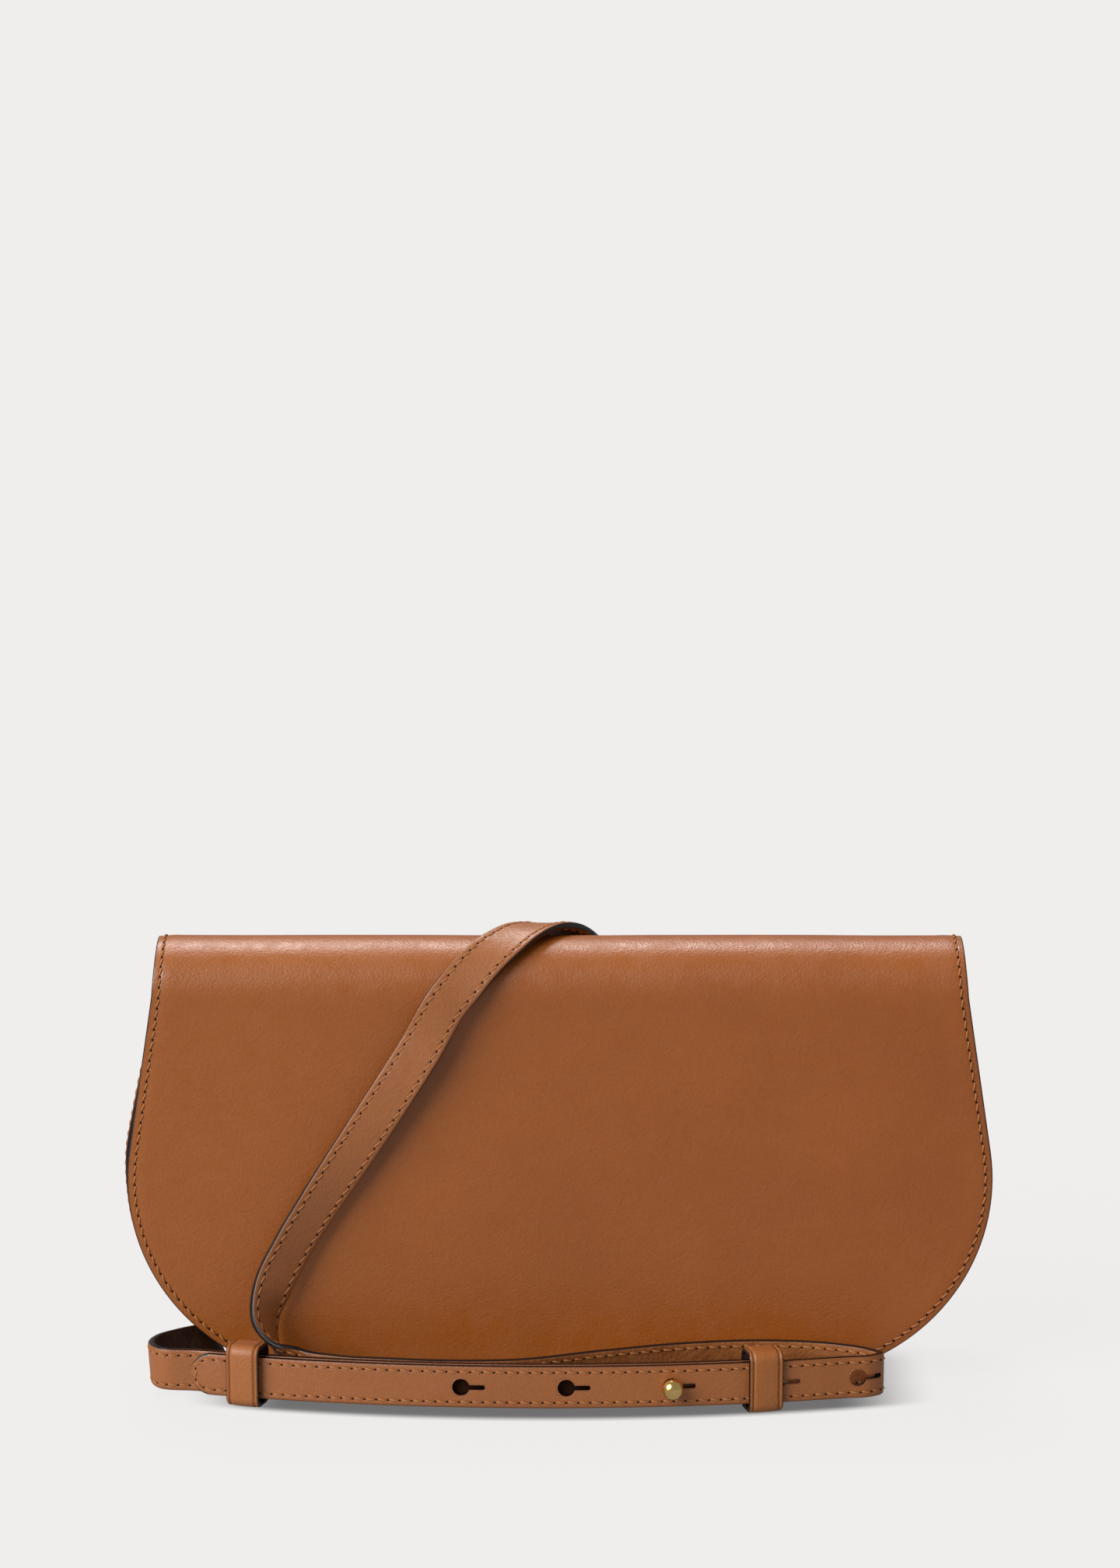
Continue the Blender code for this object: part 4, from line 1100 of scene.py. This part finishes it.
def side_ribbon(name, sign, path, width, node):
    place = side_place(sign)
    ring_lo, ring_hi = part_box("ring_right")
    y = (ring_lo.y + ring_hi.y) / 2
    line = np.array([place(u, v) for u, v in path])
    first = np.linspace(line[0], line[1], 8)[:-1]
    line = np.vstack([first, line[1:]])
    tangent = unit(np.gradient(line, axis=0))
    samples = [(x, y, z, -tz, 0.0, tx) for (x, z), (tx, tz) in zip(line, tangent)]
    ribbon = Ribbon(np.array(samples), width, TAB_THICK)
    piece = ribbon.build(name, [M_STRAP, M_EDGE, M_PEBBLE], 0.28 * MM)
    sewn = stitch_piece(name + "_stitches", [stitch_row(*ribbon.line(k, face, 1 * MM, 9 * MM))
                                             for k in (1, -1) for face in (1, -1)])
    seat("purse_body", "strap_leather", piece, sewn)
    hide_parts(node)


def make_side_hardware(side, sign):
    tab = curl(BAR_U, 0, -1, (BAR_U - CURL_R, -20 * MM), CURL_R)
    side_ribbon("hang_tab_" + side, sign, tab, TAB_WIDTH, "tab_" + side)
    low_u = BAR_U + DROP * math.sin(TILT)
    low_v = -DROP * math.cos(TILT)
    r = WIRE_R + BAR_PLAY + TAB_THICK / 2
    fold = curl(low_u, low_v, 1, (low_u + r - LEG_LEAN, low_v - LEG), r)
    side_ribbon("strap_fold_" + side, sign, fold, STRAP_W, "loop_" + side)


def finish_cad_nodes():
    """Finishes for the frame's own nodes that stay in view."""
    finishes = {
        "ring_left": M_GOLD, "ring_right": M_GOLD, "rivet_left": M_GOLD, "rivet_right": M_GOLD,
        "magnet_front": M_GOLD, "magnet_flap": M_GOLD, "magnet_washer": M_STEEL, "base_board": M_BOARD,
    }
    for node, material in finishes.items():
        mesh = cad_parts[node].data
        mesh.materials.clear()
        mesh.materials.append(material)


# ---- stage ----
def make_stage():
    """A pale floor, shaded where the bag and the strap's front run stand on it."""
    s = Shade("studio_floor")
    s.bump(s.noise(3, 2), 0.05, 0.0005)
    split = s.node("ShaderNodeSeparateXYZ")
    s.put(split.inputs[0], s.coords)
    x, y = split.outputs[0], split.outputs[1]
    dx, dy = s.math("SUBTRACT", x, APEX_X), s.math("SUBTRACT", y, APEX_Y + RUN_R)
    reach = s.math("SQRT", s.math("ADD", s.math("MULTIPLY", dx, dx), s.math("MULTIPLY", dy, dy)))
    front = s.span(reach, RUN_R - 1 * MM, RUN_R + 5.5 * MM, 1.0, 0.0)
    across = s.span(s.math("ABSOLUTE", x), 84 * MM, 118 * MM, 1.0, 0.0)
    behind = s.span(y, 0 * MM, 24 * MM, 1.0, 0.0)
    under = s.math("MULTIPLY", s.math("MULTIPLY", front, across), behind)
    dark = s.math("MULTIPLY", under, 0.85)
    tone = s.mix(dark, (0.812, 0.799, 0.793), (0.04, 0.04, 0.042))
    plain = s.mix(s.noise(2.0, 2), (0.048, 0.048, 0.048), (0.052, 0.052, 0.052))
    s.put(s.bsdf.inputs["Emission Color"], tone)
    seen = s.node("ShaderNodeLightPath").outputs["Is Camera Ray"]
    s.put(s.bsdf.inputs["Emission Strength"], s.span(seen, 0.0, 1.0, 0.35, 1.0))
    material = s.finish(plain, 0.95, specular=0.0)
    r = 30.0
    floor = add_mesh("floor", [(-r, -r, 0), (r, -r, 0), (r, r, 0), (-r, r, 0)], [(0, 1, 2, 3)], [material])
    floor.location.z = -0.0001


def sun(name, strength, angle, azimuth, elevation, colour=(1, 1, 1)):
    data = bpy.data.lights.new(name, "SUN")
    data.energy = strength
    data.angle = math.radians(angle)
    data.color = colour
    obj = bpy.data.objects.new(name, data)
    a, e = math.radians(azimuth), math.radians(elevation)
    towards = Vector((math.sin(a) * math.cos(e), -math.cos(a) * math.cos(e), math.sin(e)))
    obj.rotation_mode = "QUATERNION"
    obj.rotation_quaternion = towards.to_track_quat("Z", "Y")
    bpy.context.scene.collection.objects.link(obj)


def make_lights():
    world = bpy.data.worlds.new("studio")
    world.use_nodes = True
    nodes, links = world.node_tree.nodes, world.node_tree.links
    fill = nodes["Background"]
    fill.inputs["Color"].default_value = (1.0, 1.0, 1.0, 1)
    fill.inputs["Strength"].default_value = 0.27
    backdrop = nodes.new("ShaderNodeBackground")
    backdrop.inputs["Color"].default_value = (0.871, 0.855, 0.847, 1)
    path, mix = nodes.new("ShaderNodeLightPath"), nodes.new("ShaderNodeMixShader")
    links.new(path.outputs["Is Camera Ray"], mix.inputs[0])
    links.new(fill.outputs[0], mix.inputs[1])
    links.new(backdrop.outputs[0], mix.inputs[2])
    links.new(mix.outputs[0], nodes["World Output"].inputs["Surface"])
    bpy.context.scene.world = world
    sun("key", 2.75, 48, -50, 32, (1.0, 0.985, 0.96))
    sun("rim", 1.4, 22, 195, 62, (1.0, 0.99, 0.98))
    bpy.context.scene.view_settings.view_transform = "Standard"


def make_camera():
    """Set low over the floor, as the object was photographed: 15 degrees down, object low in the frame."""
    data = bpy.data.cameras.new("camera")
    data.sensor_fit = "HORIZONTAL"
    data.sensor_width = 36
    distance, width = 1.5, 0.3456
    data.lens = 36 * distance / width
    data.shift_y = 0.3424
    camera = bpy.data.objects.new("camera", data)
    target = Vector((0.0, FLAP_LO.y, 70 * MM))
    e = math.radians(15)
    camera.location = target + Vector((0, -math.cos(e), math.sin(e))) * distance
    camera.rotation_euler = (math.radians(90) - e, 0, 0)
    bpy.context.scene.collection.objects.link(camera)
    bpy.context.scene.camera = camera


make_flap()
make_panels()
make_linings()
make_gusset()
make_long_strap()
make_rear_strap()
make_short_strap()
make_stud()
make_keeper("left")
make_keeper("right")
make_side_hardware("left", -1)
make_side_hardware("right", 1)
finish_cad_nodes()
make_stage()
make_lights()
make_camera()
